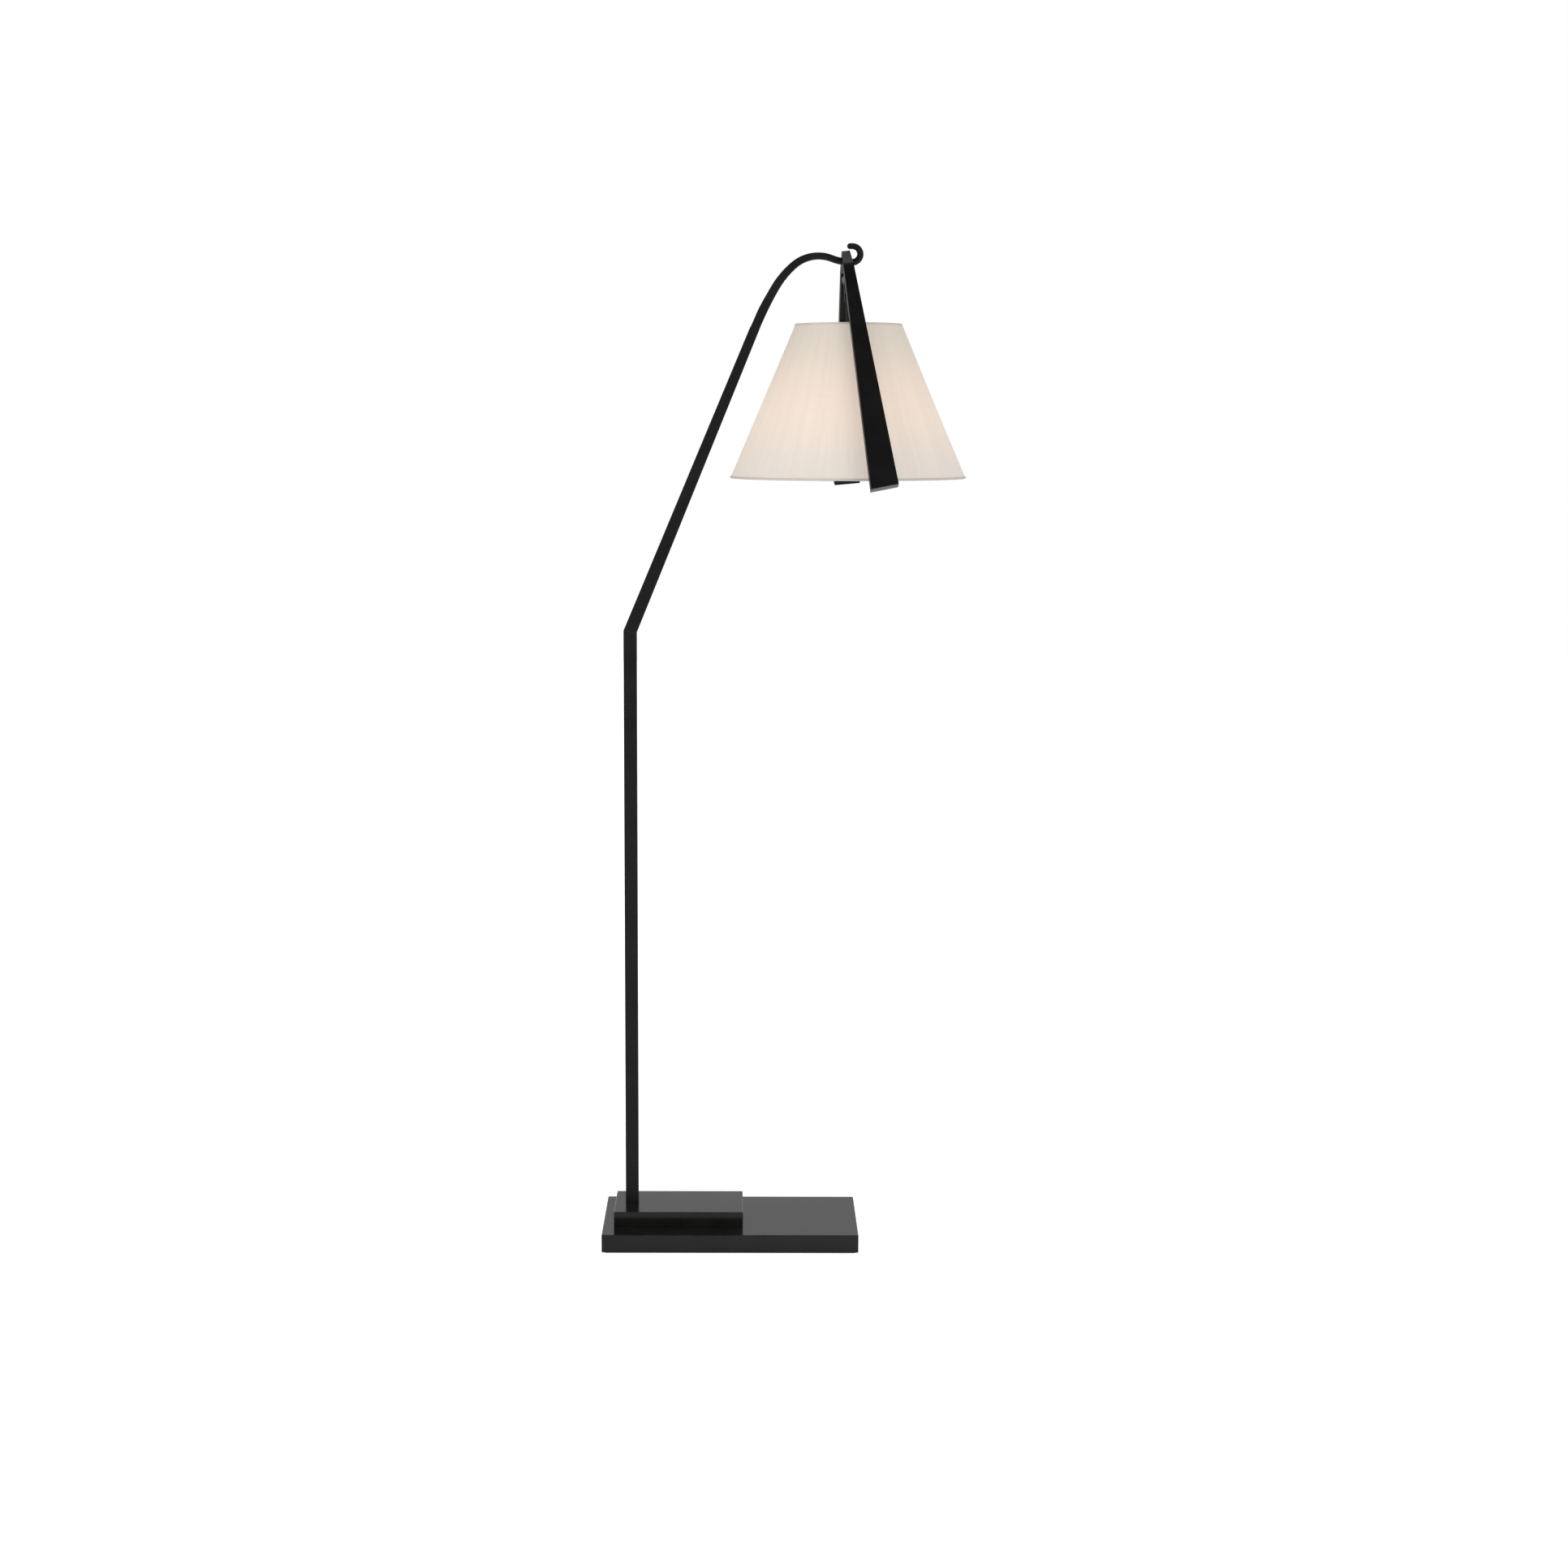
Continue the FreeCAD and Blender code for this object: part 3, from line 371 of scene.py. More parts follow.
def bareMetal(name, look):
    material, tree, shader = startMaterial(name)
    grain = metalGrain
    coords = coordinate(tree)
    cloudy = noiseNode(tree, coords, grain["cloud"], grain["cloudDetail"])
    toolMarks = noiseNode(tree, stretched(tree, coords, grain["toolMarks"]), 1.0, grain["markDetail"])
    start, end = grain["cloudSpread"]
    tree.links.new(rampNode(tree, cloudy, [(start, look["dull"]), (end, look["colour"])]),
                   shader.inputs["Base Color"])
    shader.inputs["Metallic"].default_value = 1.0
    smoothest, roughest = look["rough"]
    tree.links.new(rangeNode(tree, cloudy, *grain["roughSpread"], roughest, smoothest),
                   shader.inputs["Roughness"])
    tree.links.new(bumpNode(tree, toolMarks, grain["markBump"], grain["markDepth"]), shader.inputs["Normal"])
    return material


# pressed insulation, card and felt

plain = {
    "insulator": {"light": (0.020, 0.017, 0.015), "dark": (0.010, 0.009, 0.008), "rough": (0.28, 0.42),
                  "scale": 140.0, "bump": 0.06, "depth": 0.0002},
    "card": {"light": (0.40, 0.36, 0.29), "dark": (0.30, 0.26, 0.20), "rough": (0.75, 0.92),
             "scale": 420.0, "bump": 0.25, "depth": 0.0003},
    "felt": {"light": (0.035, 0.035, 0.034), "dark": (0.012, 0.012, 0.012), "rough": (0.90, 1.0),
             "scale": 1300.0, "bump": 0.75, "depth": 0.0007},
}
plainGrain = {"detail": 5.0, "roughness": 0.65, "colourSpread": (0.34, 0.66), "roughSpread": (0.3, 0.7)}


def mouldedStuff(name, look):
    material, tree, shader = startMaterial(name)
    grain = plainGrain
    speckle = noiseNode(tree, coordinate(tree), look["scale"], grain["detail"], grain["roughness"])
    start, end = grain["colourSpread"]
    tree.links.new(rampNode(tree, speckle, [(start, look["dark"]), (end, look["light"])]),
                   shader.inputs["Base Color"])
    tree.links.new(rangeNode(tree, speckle, *grain["roughSpread"], *look["rough"]),
                   shader.inputs["Roughness"])
    tree.links.new(bumpNode(tree, speckle, look["bump"], look["depth"]), shader.inputs["Normal"])
    return material


baseIron = blackIron("baseIron", lacquer["base"])
forgedIron = blackIron("forgedIron", lacquer["forged"])
yokeIron = blackIron("yokeIron", lacquer["yoke"])
hangerIron = blackIron("hangerIron", lacquer["hanger"])
fixingsMetal = bareMetal("fixingsMetal", metal["fixings"])
wireMetal = bareMetal("wireMetal", metal["wire"])
holderMetal = bareMetal("holderMetal", metal["holder"])
contactMetal = bareMetal("contactMetal", metal["contact"])
bulbCapMetal = bareMetal("bulbCapMetal", metal["bulbCap"])
insulatorStuff = mouldedStuff("insulatorStuff", plain["insulator"])
cardStuff = mouldedStuff("cardStuff", plain["card"])
feltStuff = mouldedStuff("feltStuff", plain["felt"])

keptSolids = {
    "base_plate": baseIron, "base_block": baseIron, "post": forgedIron, "arm": forgedIron,
    "yoke": yokeIron, "yoke_bridge": hangerIron, "hanger_fork": hangerIron, "hanger_stem": hangerIron,
    "hanger_nut": hangerIron, "hanger_pin": hangerIron, "stem_nuts": hangerIron,
    "block_screws": fixingsMetal, "post_bolt": fixingsMetal, "post_washer": fixingsMetal,
    "cord_bushing": insulatorStuff, "holder_shell": holderMetal, "holder_liner": cardStuff,
    "holder_core": insulatorStuff, "screw_shell": contactMetal, "centre_contact": contactMetal,
    "switch_shaft": contactMetal,
}


def dressSolids():
    for name, material in keptSolids.items():
        mesh = nodes[name].data
        if not mesh.materials:
            mesh.materials.append(material)
        for slot in nodes[name].material_slots:
            slot.material = material


dressSolids()
print("kept solids dressed")


# the cloth shade

shade = {
    "topRadius": 0.0771,          # outside, at the top edge
    "clothThick": 0.0008,
    "roundSteps": 320,
    "heightSteps": 64,
    "wobble": 0.00030,            # how far the cloth strays from a true cone
    "ripples": (5, 11),           # waves round the cloth
    "rippleStart": 1.3,           # where the wider ones start
    "rippleDrift": 4,             # how the finer ones drift with the height
    "lapWidth": 0.010,            # glued overlap down the back
    "lapStep": 0.0005,
    "unlit": (0.465, 0.425, 0.384),
    "shadowed": (0.440, 0.402, 0.362),
    # the bulb's light in the cloth, from the bottom edge (0) to the top edge (1)
    "glow": ((0.00, (0.372, 0.350, 0.330)), (0.20, (0.450, 0.390, 0.340)), (0.45, (0.535, 0.430, 0.352)),
             (0.68, (0.445, 0.365, 0.302)), (0.85, (0.350, 0.302, 0.255)), (1.00, (0.290, 0.264, 0.236))),
    "glowStreaks": (0.95, 1.03),
    "letsThrough": 0.22,
    "rough": (0.82, 0.95),
    "shine": 0.25, "sheen": 0.12, "sheenRough": 0.5,
    "slubs": (520, 9, 1),         # long upright slubs
    "streaks": (90, 4, 1),        # broad streaks of tone
    "weft": (14, 620, 1),         # faint level threads
    "threadRough": 0.6,
    "slubShare": 0.7, "weaveShare": 0.65,
    "toneSpread": (0.36, 0.58), "weaveSpread": (0.35, 0.65), "streakSpread": (0.35, 0.62),
    "bump": 0.35, "bumpDepth": 0.0003,
}
fabricLow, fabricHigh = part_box("shade_fabric")
shadeX = (fabricLow.x + fabricHigh.x) / 2
shadeTop, shadeBottom = fabricHigh.z, fabricLow.z
shadeWide = (fabricHigh.x - fabricLow.x) / 2
shadeTall = shadeTop - shadeBottom
shadeSlant = math.hypot(shadeWide - shade["topRadius"], shadeTall)


def clothPoint(share, angle):
    # share is 0 at the bottom edge and 1 at the top
    radius = shadeWide + (shade["topRadius"] - shadeWide) * share
    first, second = shade["ripples"]
    waves = (math.sin(first * angle + shade["rippleStart"])
             + math.sin(second * angle + shade["rippleDrift"] * share))
    radius -= shade["wobble"] * math.sin(math.pi * share) * (1 + waves / 2)
    pastSeam = (angle - math.pi / 2) * radius
    if 0 < pastSeam < shade["lapWidth"]:
        radius -= shade["lapStep"] * (pastSeam / shade["lapWidth"])
    return shadeX + radius * math.cos(angle), radius * math.sin(angle), shadeBottom + shadeTall * share


def makeShadeCloth():
    rows, columns = shade["heightSteps"] + 1, shade["roundSteps"]
    points = []
    for row in range(rows):
        for column in range(columns):
            points.append(clothPoint(row / (rows - 1), column * fullTurn / columns))
    piece = meshPiece("shadeCloth", points, gridFaces(rows, columns))
    layer = piece.data.uv_layers.new(name="threads")       # in metres, round and up the cloth
    middleRound = fullTurn * (shadeWide + shade["topRadius"]) / 2
    for face in piece.data.polygons:
        places = [(loop, piece.data.loops[loop].vertex_index) for loop in face.loop_indices]
        used = [place % columns for _, place in places]
        wraps = max(used) - min(used) > 1
        for loop, place in places:
            column = place % columns
            if wraps and column == 0:
                column = columns
            layer.data[loop].uv = (column / columns * middleRound, place // columns / (rows - 1) * shadeSlant)
    thick = piece.modifiers.new("thickness", "SOLIDIFY")
    thick.thickness = shade["clothThick"]
    thick.offset = -1.0
    return piece


def shadeClothMaterial():
    material, tree, shader = startMaterial("shadeLinen")
    links = tree.links
    threads = tree.nodes.new("ShaderNodeUVMap")
    threads.uv_map = "threads"
    threads = threads.outputs["UV"]
    slubs = noiseNode(tree, stretched(tree, threads, shade["slubs"]), 1.0, 3.0, shade["threadRough"])
    streaks = noiseNode(tree, stretched(tree, threads, shade["streaks"]), 1.0, 2.0)
    weft = noiseNode(tree, stretched(tree, threads, shade["weft"]), 1.0, 2.0, shade["threadRough"])
    weave = weighted(tree, slubs, weft, shade["slubShare"], 1 - shade["slubShare"])
    tone = weighted(tree, weave, streaks, shade["weaveShare"], 1 - shade["weaveShare"])
    start, end = shade["toneSpread"]
    linen = rampNode(tree, tone, [(start, shade["shadowed"]), (end, shade["unlit"])])
    links.new(linen, shader.inputs["Base Color"])
    links.new(rangeNode(tree, weave, *shade["weaveSpread"], *shade["rough"]), shader.inputs["Roughness"])
    shader.inputs["Specular IOR Level"].default_value = shade["shine"]
    shader.inputs["Sheen Weight"].default_value = shade["sheen"]
    shader.inputs["Sheen Roughness"].default_value = shade["sheenRough"]
    links.new(bumpNode(tree, weave, shade["bump"], shade["bumpDepth"]), shader.inputs["Normal"])

    # the bulb's light through the cloth, strongest level with the globe
    share = rangeNode(tree, upDown(tree, coordinate(tree)), shadeBottom, shadeTop, 0.0, 1.0)
    glow = rampNode(tree, share, shade["glow"], "B_SPLINE")
    streaked = rangeNode(tree, tone, *shade["streakSpread"], *shade["glowStreaks"])
    links.new(mixedColour(tree, 1.0, glow, streaked, "MULTIPLY"), shader.inputs["Emission Color"])
    shader.inputs["Emission Strength"].default_value = 1.0

    through = tree.nodes.new("ShaderNodeBsdfTranslucent")
    links.new(linen, through.inputs["Color"])
    mix = tree.nodes.new("ShaderNodeMixShader")
    mix.inputs["Fac"].default_value = shade["letsThrough"]
    links.new(shader.outputs["BSDF"], mix.inputs[1])
    links.new(through.outputs["BSDF"], mix.inputs[2])
    links.new(mix.outputs["Shader"], tree.nodes["Material Output"].inputs["Surface"])
    return material


trim = {
    "halfThick": 0.0013,
    "halfHigh": 0.0017,
    "squareness": 2.6,
    "sideSteps": 14,
    "roundSteps": 320,
    "roll": 0.00012,              # unevenness of the hand-rolled edge, and its waves
    "rollWaves": (23, 41),
    "rollStart": 2.0,
    "edgeLap": 0.0009,            # how far the middle of the trim sits in from the cloth's edge
    "topInward": 0.0005,
    "bottomInward": 0.0007,
    "light": (0.540, 0.500, 0.450),
    "dark": (0.490, 0.450, 0.405),
    "rough": (0.82, 0.96),
    "shine": 0.25, "threads": 1500.0, "broad": 60.0, "threadShare": 0.6, "bump": 0.25, "bumpDepth": 0.0002,
    "toneSpread": (0.36, 0.62), "roughSpread": (0.3, 0.7),
}


def makeTrim(name, level, radius, material, replaced):
    section = roundedBar(trim["halfThick"], trim["halfHigh"], trim["sideSteps"], trim["squareness"])
    slope = math.atan2(shadeWide - shade["topRadius"], shadeTall)
    first, second = trim["rollWaves"]
    points = []
    for column in range(trim["roundSteps"]):
        angle = column * fullTurn / trim["roundSteps"]
        uneven = trim["roll"] * (math.sin(first * angle) + math.sin(second * angle + trim["rollStart"])) / 2
        for across, up in section:
            away = across * math.cos(slope) - up * math.sin(slope)
            rise = across * math.sin(slope) + up * math.cos(slope)
            reach = radius + away * (1 + uneven / trim["halfThick"])
            points.append((shadeX + reach * math.cos(angle), reach * math.sin(angle), level + rise))
    piece = meshPiece(name, points, gridFaces(trim["roundSteps"], trim["sideSteps"], closeRows=True))
    finishPiece(piece, material, "shade_head", "shade_tape", replaced)
    return piece


def trimMaterial():
    material, tree, shader = startMaterial("shadeTape")
    coords = coordinate(tree)
    threads = noiseNode(tree, coords, trim["threads"], 2.0, 0.5)
    broad = noiseNode(tree, coords, trim["broad"], 2.0)
    tone = weighted(tree, threads, broad, trim["threadShare"], 1 - trim["threadShare"])
    start, end = trim["toneSpread"]
    tree.links.new(rampNode(tree, tone, [(start, trim["dark"]), (end, trim["light"])]),
                   shader.inputs["Base Color"])
    tree.links.new(rangeNode(tree, threads, *trim["roughSpread"], *trim["rough"]),
                   shader.inputs["Roughness"])
    shader.inputs["Specular IOR Level"].default_value = trim["shine"]
    tree.links.new(bumpNode(tree, threads, trim["bump"], trim["bumpDepth"]), shader.inputs["Normal"])
    return material


def makeShade():
    piece = makeShadeCloth()
    finishPiece(piece, shadeClothMaterial(), "shade_head", "shade_cloth", "shade_fabric")
    tape = trimMaterial()
    topTrim = makeTrim("topTrim", shadeTop - trim["edgeLap"], shade["topRadius"] - trim["topInward"],
                       tape, "top_binding")
    bottomTrim = makeTrim("bottomTrim", shadeBottom + trim["edgeLap"], shadeWide - trim["bottomInward"],
                          tape, "bottom_binding")


makeShade()
print("shade made")


# the wire frame under the cloth

wires = {
    "roundSteps": 256, "sides": 20,
    "spokes": 3, "spokeRadius": 0.0016, "spokeSteps": 12, "spokeInHub": 0.003,
    "hubDrop": 0.006, "hubRadius": 0.014, "hubHole": 0.0043, "hubThick": 0.002, "hubEdge": 0.0005,
    "hubSteps": 72,
    "weldRadius": 0.002132, "weldReach": (0.0042, 0.0026, 0.0012), "weldDip": 0.0001,
}


def ringWire(name, node):
    low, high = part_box(node)
    thin = (high.z - low.z) / 2
    wide = (high.x - low.x) / 2 - thin
    level = (low.z + high.z) / 2
    path = []
    for step in range(wires["roundSteps"]):
        angle = step * fullTurn / wires["roundSteps"]
        path.append(Vector((shadeX + wide * math.cos(angle), wide * math.sin(angle), level)))
    piece = wireAlong(name, path, thin, wires["sides"], closed=True)
    finishPiece(piece, wireMetal, "shade_head", "frame_wire", node)
    return wide, level


def makeSpider(ringRadius, ringLevel):
    half, edge, wide = wires["hubThick"] / 2, wires["hubEdge"], wires["hubRadius"]
    middle = shadeTop - wires["hubDrop"] - half
    hub = turned("hub", [
        (wires["hubHole"], -half), (wide - edge, -half), (wide, -half + edge),
        (wide, half - edge), (wide - edge, half), (wires["hubHole"], half),
    ], (shadeX, 0, middle), wires["hubSteps"])
    parts = [hub]
    for index in range(wires["spokes"]):
        angle = math.pi / 2 + index * fullTurn / wires["spokes"]
        away = Vector((math.cos(angle), math.sin(angle), 0))
        start = Vector((shadeX, 0, middle)) + away * (wide - wires["spokeInHub"])
        end = Vector((shadeX, 0, ringLevel)) + away * ringRadius
        path = [start.lerp(end, step / wires["spokeSteps"]) for step in range(wires["spokeSteps"] + 1)]
        parts.append(wireAlong("spoke", path, wires["spokeRadius"], wires["sides"]))
        weld = [end - away * reach for reach in wires["weldReach"]]      # a bead where it meets the ring
        weld[0].z -= wires["weldDip"]
        parts.append(wireAlong("bead", weld, wires["weldRadius"], wires["sides"]))
    finishPiece(joined("spiderFitting", parts), wireMetal, "shade_head", "frame_wire", "spider")


topRingRadius, topRingLevel = ringWire("topRing", "top_ring")
ringWire("bottomRing", "bottom_ring")
makeSpider(topRingRadius, topRingLevel)
print("wire frame made")


# the lamp holder's cap and the bulb

holder = {
    "steps": 96,
    "bore": 0.0046,
    "flat": (0.0095, 0.0100), "flatEdge": 0.0004,
    "domeTop": 0.0008, "dome": 0.0072, "domeSteps": 12,
    "beadRise": 0.004, "bead": 0.0006, "beadLevels": (0.0016, 0.0009, 0.0001, -0.0006),
    "lip": 0.0003, "wall": 0.0007,
    "innerLevel": 0.0085, "innerDome": 0.0070, "innerSteps": 8, "crown": 0.0015,
}


def makeHolderCap():
    low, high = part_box("holder_cap")
    outside = (high.x - low.x) / 2
    tall = high.z - low.z
    flat, shoulder = holder["flat"]
    inside = outside - holder["wall"]
    outline = [(holder["bore"], 0.0), (flat, 0.0), (shoulder, -holder["flatEdge"])]
    for step in range(holder["domeSteps"] + 1):
        angle = math.pi / 2 * (1 - step / holder["domeSteps"])
        outline.append((shoulder + (outside - shoulder) * math.cos(angle),
                        -holder["domeTop"] - holder["dome"] * (1 - math.sin(angle))))
    groove = outside - holder["bead"]
    for radius, level in zip((outside, groove, groove, outside), holder["beadLevels"]):
        outline.append((radius, holder["beadRise"] - tall + level))
    outline += [(outside, holder["lip"] - tall), (outside - holder["lip"], -tall), (inside, -tall),
                (inside, -holder["innerLevel"])]
    for step in range(holder["innerSteps"] + 1):
        angle = math.pi / 2 * step / holder["innerSteps"]
        outline.append((shoulder + (inside - shoulder) * math.cos(angle),
                        holder["innerDome"] * math.sin(angle) - holder["innerLevel"]))
    outline.append((holder["bore"], -holder["crown"]))
    piece = turned("holderCap", outline, (shadeX, 0, high.z), holder["steps"])
    finishPiece(piece, holderMetal, "shade_head", "holder_metal", "holder_cap")


bulb = {
    "neckRadius": 0.01215, "neckTall": 0.010, "neckInCap": 0.0115, "neckLap": 0.002,
    "globeRadius": 0.030, "glass": 0.001, "cheek": 40.0,
    "pulls": (0.009, 0.010), "cheekSteps": 16, "globeSteps": 32, "roundSteps": 96,
    "threadPitch": 0.0036, "threadDepth": 0.0008, "threadTurnSteps": 72, "threadRows": 90, "threadFade": 8,
    "capWall": 0.0005, "shoulderDrop": 0.004,
    "tip": ((0.0075, 0.0022), (0.0045, 0.0018), (0.0045, 0.0006), (0.0040, 0.0001), (0.0, 0.0)),
    "frost": 300.0, "frostSpread": (0.3, 0.7), "pale": ((0.88, 0.87, 0.84), (0.93, 0.92, 0.90)),
    "rough": (0.22, 0.32),
    "glow": (1.0, 0.80, 0.58), "strength": 7.0,
    "dimming": (0.062, 0.082, 0.25),      # from one level to the next it falls to this share
}


def pearOutline(inset, capBottom, globeLevel):
    # from the neck down to the lowest point, as (radius, level) points
    neck, globe = bulb["neckRadius"] - inset, bulb["globeRadius"] - inset
    cheek = math.radians(bulb["cheek"])
    neckLevel = capBottom - bulb["neckTall"]
    start = Vector((neck, neckLevel))
    end = Vector((globe * math.cos(cheek), globeLevel + globe * math.sin(cheek)))
    neckPull, cheekPull = bulb["pulls"]
    pullStart = start - Vector((0.0, neckPull))
    pullEnd = end + Vector((-math.sin(cheek), math.cos(cheek))) * cheekPull
    outline = [(neck, capBottom + bulb["neckInCap"]), (neck, capBottom - bulb["neckLap"]), (neck, neckLevel)]
    for step in range(1, bulb["cheekSteps"]):
        t = step / bulb["cheekSteps"]
        spot = (start * (1 - t) ** 3 + pullStart * 3 * t * (1 - t) ** 2
                + pullEnd * 3 * t * t * (1 - t) + end * t ** 3)
        outline.append((spot.x, spot.y))
    for step in range(bulb["globeSteps"] + 1):
        angle = cheek - step * (cheek + math.pi / 2) / bulb["globeSteps"]
        outline.append((max(globe * math.cos(angle), 0.0), globeLevel + globe * math.sin(angle)))
    return outline


def makeBulbGlass(capBottom):
    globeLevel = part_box("bulb_glass")[0].z + bulb["globeRadius"]
    outer = pearOutline(0.0, capBottom, globeLevel)
    inner = pearOutline(bulb["glass"], capBottom, globeLevel)
    piece = turned("bulbGlass", outer + inner[::-1], (shadeX, 0, 0), bulb["roundSteps"])
    finishPiece(piece, litGlass(), "shade_head", "lit_glass", "bulb_glass")


def makeBulbCap(capLow, capHigh):
    # a rolled thread: the radius waves with the height and the turn together
    radius = (capHigh.x - capLow.x) / 2
    inside = radius - bulb["capWall"]
    shoulder = capHigh.z - bulb["shoulderDrop"]
    ceiling = shoulder - bulb["capWall"]
    rows = [(0.0, ceiling, 0.0), (inside, ceiling, 0.0), (inside, capLow.z, 0.0)]
    last = bulb["threadRows"] - 1
    for step in range(last + 1):
        fade = min(step / bulb["threadFade"], 1.0, (last - step) / bulb["threadFade"])
        rows.append((radius, capLow.z + (shoulder - capLow.z) * step / last, bulb["threadDepth"] * fade))
    rows += [(reach, capHigh.z - drop, 0.0) for reach, drop in bulb["tip"]]
    columns = bulb["threadTurnSteps"]
    points = []
    for reach, level, deep in rows:
        for column in range(columns):
            angle = column * fullTurn / columns
            wave = (1 - math.cos(fullTurn * level / bulb["threadPitch"] - angle)) / 2
            wide = reach - deep * wave
            points.append((shadeX + wide * math.cos(angle), wide * math.sin(angle), level))
    piece = meshPiece("bulbCap", points, gridFaces(len(rows), columns))
    weldPoles(piece)
    finishPiece(piece, bulbCapMetal, "shade_head", "bulb_metal", "bulb_cap")


def litGlass():
    material, tree, shader = startMaterial("litGlass")
    coords = coordinate(tree)
    frost = noiseNode(tree, coords, bulb["frost"])
    start, end = bulb["frostSpread"]
    dark, light = bulb["pale"]
    tree.links.new(rampNode(tree, frost, [(start, dark), (end, light)]), shader.inputs["Base Color"])
    tree.links.new(rangeNode(tree, frost, start, end, *bulb["rough"]), shader.inputs["Roughness"])
    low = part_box("bulb_glass")[0].z
    bright, dim, share = bulb["dimming"]
    fade = rangeNode(tree, upDown(tree, coords), low + bright, low + dim, 1.0, share)    # dimmer to the neck
    tree.links.new(mixedColour(tree, fade, (0.0, 0.0, 0.0), bulb["glow"]), shader.inputs["Emission Color"])
    shader.inputs["Emission Strength"].default_value = bulb["strength"]
    return material


knob = {
    "flutes": 20, "fluteDepth": 0.00045, "steps": 160, "barrelSteps": 6,
    "backRadius": 0.0032,
    # steps in from the full radius and along from the back, then back from the front
    "collar": ((0.0016, 0.0), (0.0010, 0.0003), (0.0010, 0.0020), (0.0004, 0.0024), (0.0, 0.0030)),
    "front": ((0.0004, 0.0014), (0.0014, 0.0006)), "barrelEnd": 0.0026, "faceDome": 0.0001,
}


def makeKnob():
    low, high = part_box("switch_knob")
    radius = (high.x - low.x) / 2
    long = high.y - low.y
    middleX, middleZ = (low.x + high.x) / 2, (low.z + high.z) / 2
    outline = [(knob["backRadius"], 0.0)]
    outline += [(radius - inward, along) for inward, along in knob["collar"]]
    barrelStart = knob["collar"][-1][1]
    barrel = long - barrelStart - knob["barrelEnd"]
    for step in range(1, knob["barrelSteps"] + 1):
        outline.append((radius, barrelStart + barrel * step / knob["barrelSteps"]))
    outline += [(radius - inward, long - along) for inward, along in knob["front"]]
    outline += [(radius / 2, long - knob["faceDome"]), (0.0, long)]
    fluted = range(4, len(outline) - 3)      # from the collar's last slope to the front's first
    points = []
    for row, (reach, along) in enumerate(outline):
        deep = knob["fluteDepth"] if row in fluted else 0.0
        for step in range(knob["steps"]):
            angle = step * fullTurn / knob["steps"]
            wide = reach - deep * (1 - math.cos(knob["flutes"] * angle)) / 2
            points.append((middleX + wide * math.cos(angle), high.y - along,
                           middleZ + wide * math.sin(angle)))
    faces = gridFaces(len(outline), knob["steps"]) + endFaces(len(outline), knob["steps"])[:1]
    piece = meshPiece("switchKnob", points, faces)
    weldPoles(piece)
    finishPiece(piece, insulatorStuff, "switch", "insulator", "switch_knob")


makeHolderCap()
bulbCapLow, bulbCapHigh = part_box("bulb_cap")
makeBulbGlass(bulbCapLow.z)
makeBulbCap(bulbCapLow, bulbCapHigh)
makeKnob()
print("holder cap, bulb and knob made")


# felt under the base

felt = {"corner": 0.004, "soft": 0.0004, "cornerSteps": 8}


def makeFelt():
    low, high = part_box("felt_pad")
    middle, half = (low + high) / 2, (high - low) / 2
    soft, radius, steps = felt["soft"], felt["corner"], felt["cornerSteps"]
    points = []
    levels = [(soft, low.z), (0.0, low.z + soft), (0.0, high.z - soft), (soft, high.z)]
    for inset, level in levels:
        for corner, (sideX, sideY) in enumerate(((1, 1), (-1, 1), (-1, -1), (1, -1))):
            for step in range(steps + 1):
                angle = (corner + step / steps) * math.pi / 2
                points.append((middle.x + sideX * (half.x - radius) + (radius - inset) * math.cos(angle),
                               middle.y + sideY * (half.y - radius) + (radius - inset) * math.sin(angle),
                               level))
    columns = 4 * (steps + 1)
    piece = meshPiece("feltPad", points, gridFaces(len(levels), columns) + endFaces(len(levels), columns))
    finishPiece(piece, feltStuff, "stand", "felt", "felt_pad")


makeFelt()
print("felt pad made")


# floor, studio and lamps

studio = {
    "floorHalf": 9.0, "floorDrop": 0.0003, "floorColour": (0.80, 0.80, 0.80), "floorDim": 0.97,
    "floorCloud": 3.0, "floorSpread": (0.3, 0.7), "floorRough": 0.9, "floorWhite": 0.72,
    "skyDiffuse": 0.85,
    # what the lacquer mirrors: dark in front, pale behind, dimmer overhead
    "skyGlossFront": 0.08, "skyGlossBack": 0.66, "skyGlossTop": 0.45,
    "frontToBack": (-0.50, 0.60), "levelToTop": (0.36, 0.70),
    "lamps": {
        "key": {"place": (2.1, -3.0, 2.4), "aim": (0.10, 0.0, 0.95), "size": 2.2, "power": 34.0},
        "fill": {"place": (-2.8, -2.4, 2.0), "aim": (0.0, 0.0, 0.95), "size": 2.6, "power": 44.0},
        "back": {"place": (0.3, 2.8, 3.0), "aim": (0.05, 0.0, 0.90), "size": 2.6, "power": 9.0},
    },
}


def seenPlainly(tree, path):
    rays = path.outputs
    return mathNode(tree, "ADD", rays["Is Camera Ray"], rays["Is Transmission Ray"], clamp=True)


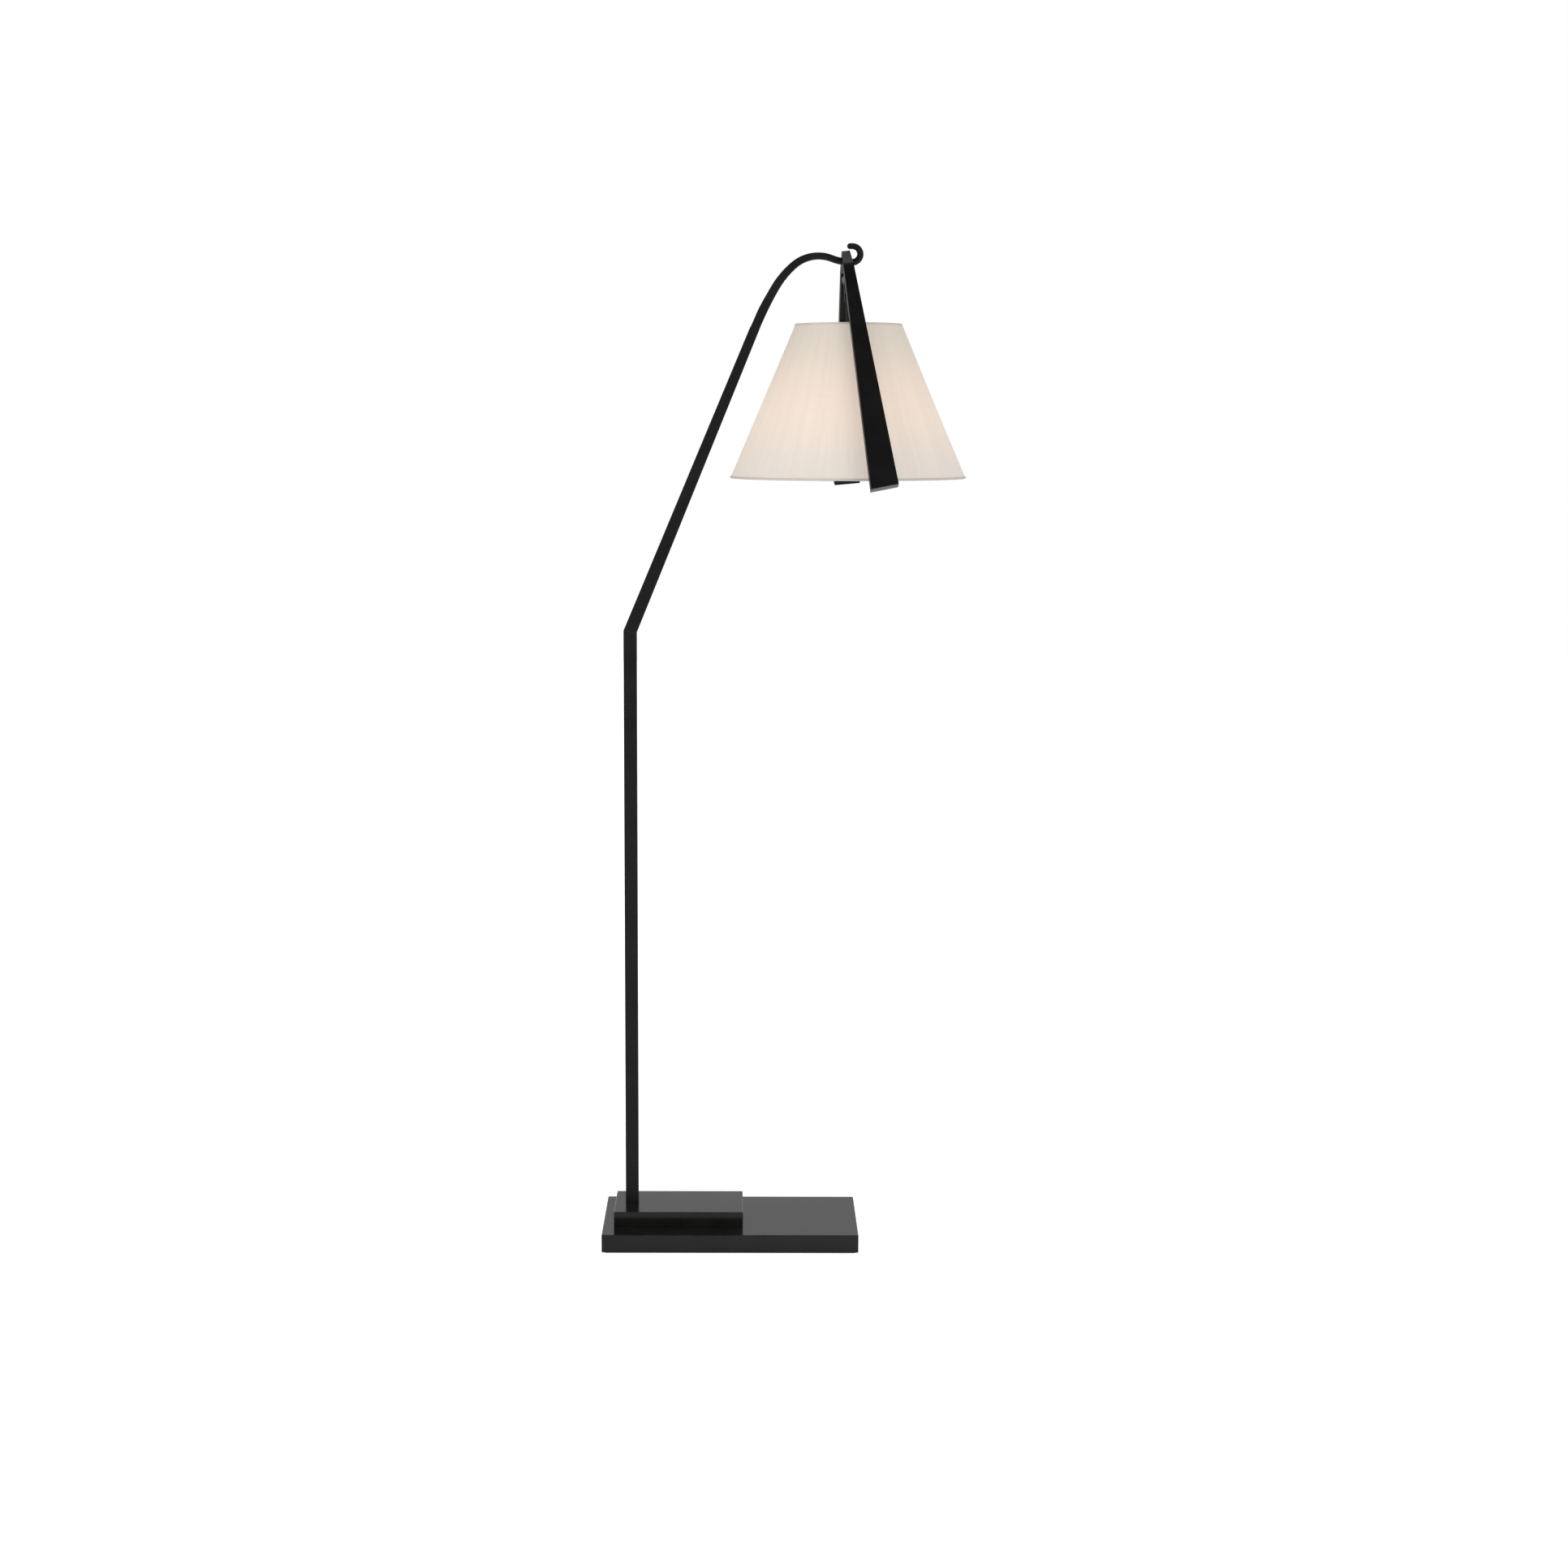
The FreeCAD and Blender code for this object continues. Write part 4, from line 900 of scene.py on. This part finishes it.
def makeFloor():
    half, level = studio["floorHalf"], -studio["floorDrop"]
    corners = [(-half, -half, level), (half, -half, level), (half, half, level), (-half, half, level)]
    piece = meshPiece("floor", corners, [(0, 1, 2, 3)], smooth=False)
    if piece.data.polygons[0].normal.z < 0:
        piece.data.flip_normals()
    material, tree, shader = startMaterial("paleFloor")
    links = tree.links
    cloud = noiseNode(tree, coordinate(tree), studio["floorCloud"], 2.0)
    dimmer = tuple(value * studio["floorDim"] for value in studio["floorColour"])
    start, end = studio["floorSpread"]
    links.new(rampNode(tree, cloud, [(start, dimmer), (end, studio["floorColour"])]),
              shader.inputs["Base Color"])
    shader.inputs["Roughness"].default_value = studio["floorRough"]
    shader.inputs["Specular IOR Level"].default_value = 0.0
    seen = seenPlainly(tree, tree.nodes.new("ShaderNodeLightPath"))
    white = tree.nodes.new("ShaderNodeEmission")
    links.new(mathNode(tree, "MULTIPLY", seen, studio["floorWhite"]), white.inputs["Strength"])
    lit = tree.nodes.new("ShaderNodeAddShader")
    links.new(shader.outputs["BSDF"], lit.inputs[0])
    links.new(white.outputs["Emission"], lit.inputs[1])
    clear = tree.nodes.new("ShaderNodeBsdfTransparent")      # so that the lamp shows from below too
    mix = tree.nodes.new("ShaderNodeMixShader")
    links.new(tree.nodes.new("ShaderNodeNewGeometry").outputs["Backfacing"], mix.inputs["Fac"])
    links.new(lit.outputs["Shader"], mix.inputs[1])
    links.new(clear.outputs["BSDF"], mix.inputs[2])
    links.new(mix.outputs["Shader"], tree.nodes["Material Output"].inputs["Surface"])
    piece.data.materials.append(material)


def makeSky():
    world = bpy.data.worlds.new("studioSky")
    bpy.context.scene.world = world
    world.use_nodes = True
    tree = world.node_tree
    direction = coordinate(tree, "Generated")
    level = rangeNode(tree, upDown(tree, direction, "Y"), *studio["frontToBack"],
                      studio["skyGlossFront"], studio["skyGlossBack"])
    dim = rangeNode(tree, upDown(tree, direction), *studio["levelToTop"], 1.0, studio["skyGlossTop"])
    path = tree.nodes.new("ShaderNodeLightPath")
    seen = seenPlainly(tree, path)
    glossy = path.outputs["Is Glossy Ray"]
    shiny = mathNode(tree, "MULTIPLY", glossy, mathNode(tree, "MULTIPLY", level, dim))
    matt = mathNode(tree, "MULTIPLY", mathNode(tree, "SUBTRACT", 1.0, glossy), studio["skyDiffuse"])
    unseen = mathNode(tree, "SUBTRACT", 1.0, seen)
    hidden = mathNode(tree, "MULTIPLY", unseen, mathNode(tree, "ADD", shiny, matt))
    background = tree.nodes["Background"]
    background.inputs["Color"].default_value = (1, 1, 1, 1)
    tree.links.new(mathNode(tree, "ADD", seen, hidden), background.inputs["Strength"])


def softLamp(name, look):
    data = bpy.data.lights.new(name, "AREA")
    data.shape = "DISK"
    data.size = look["size"]
    data.energy = look["power"]
    lamp = linked(name, data)
    lamp.location = look["place"]
    aim = Vector(look["aim"]) - Vector(look["place"])
    lamp.rotation_mode = "QUATERNION"
    lamp.rotation_quaternion = aim.to_track_quat("-Z", "Y")


makeFloor()
makeSky()
for lampName, lampLook in studio["lamps"].items():
    softLamp(lampName + "Lamp", lampLook)
bpy.context.scene.view_settings.view_transform = "Standard"
print("studio made")
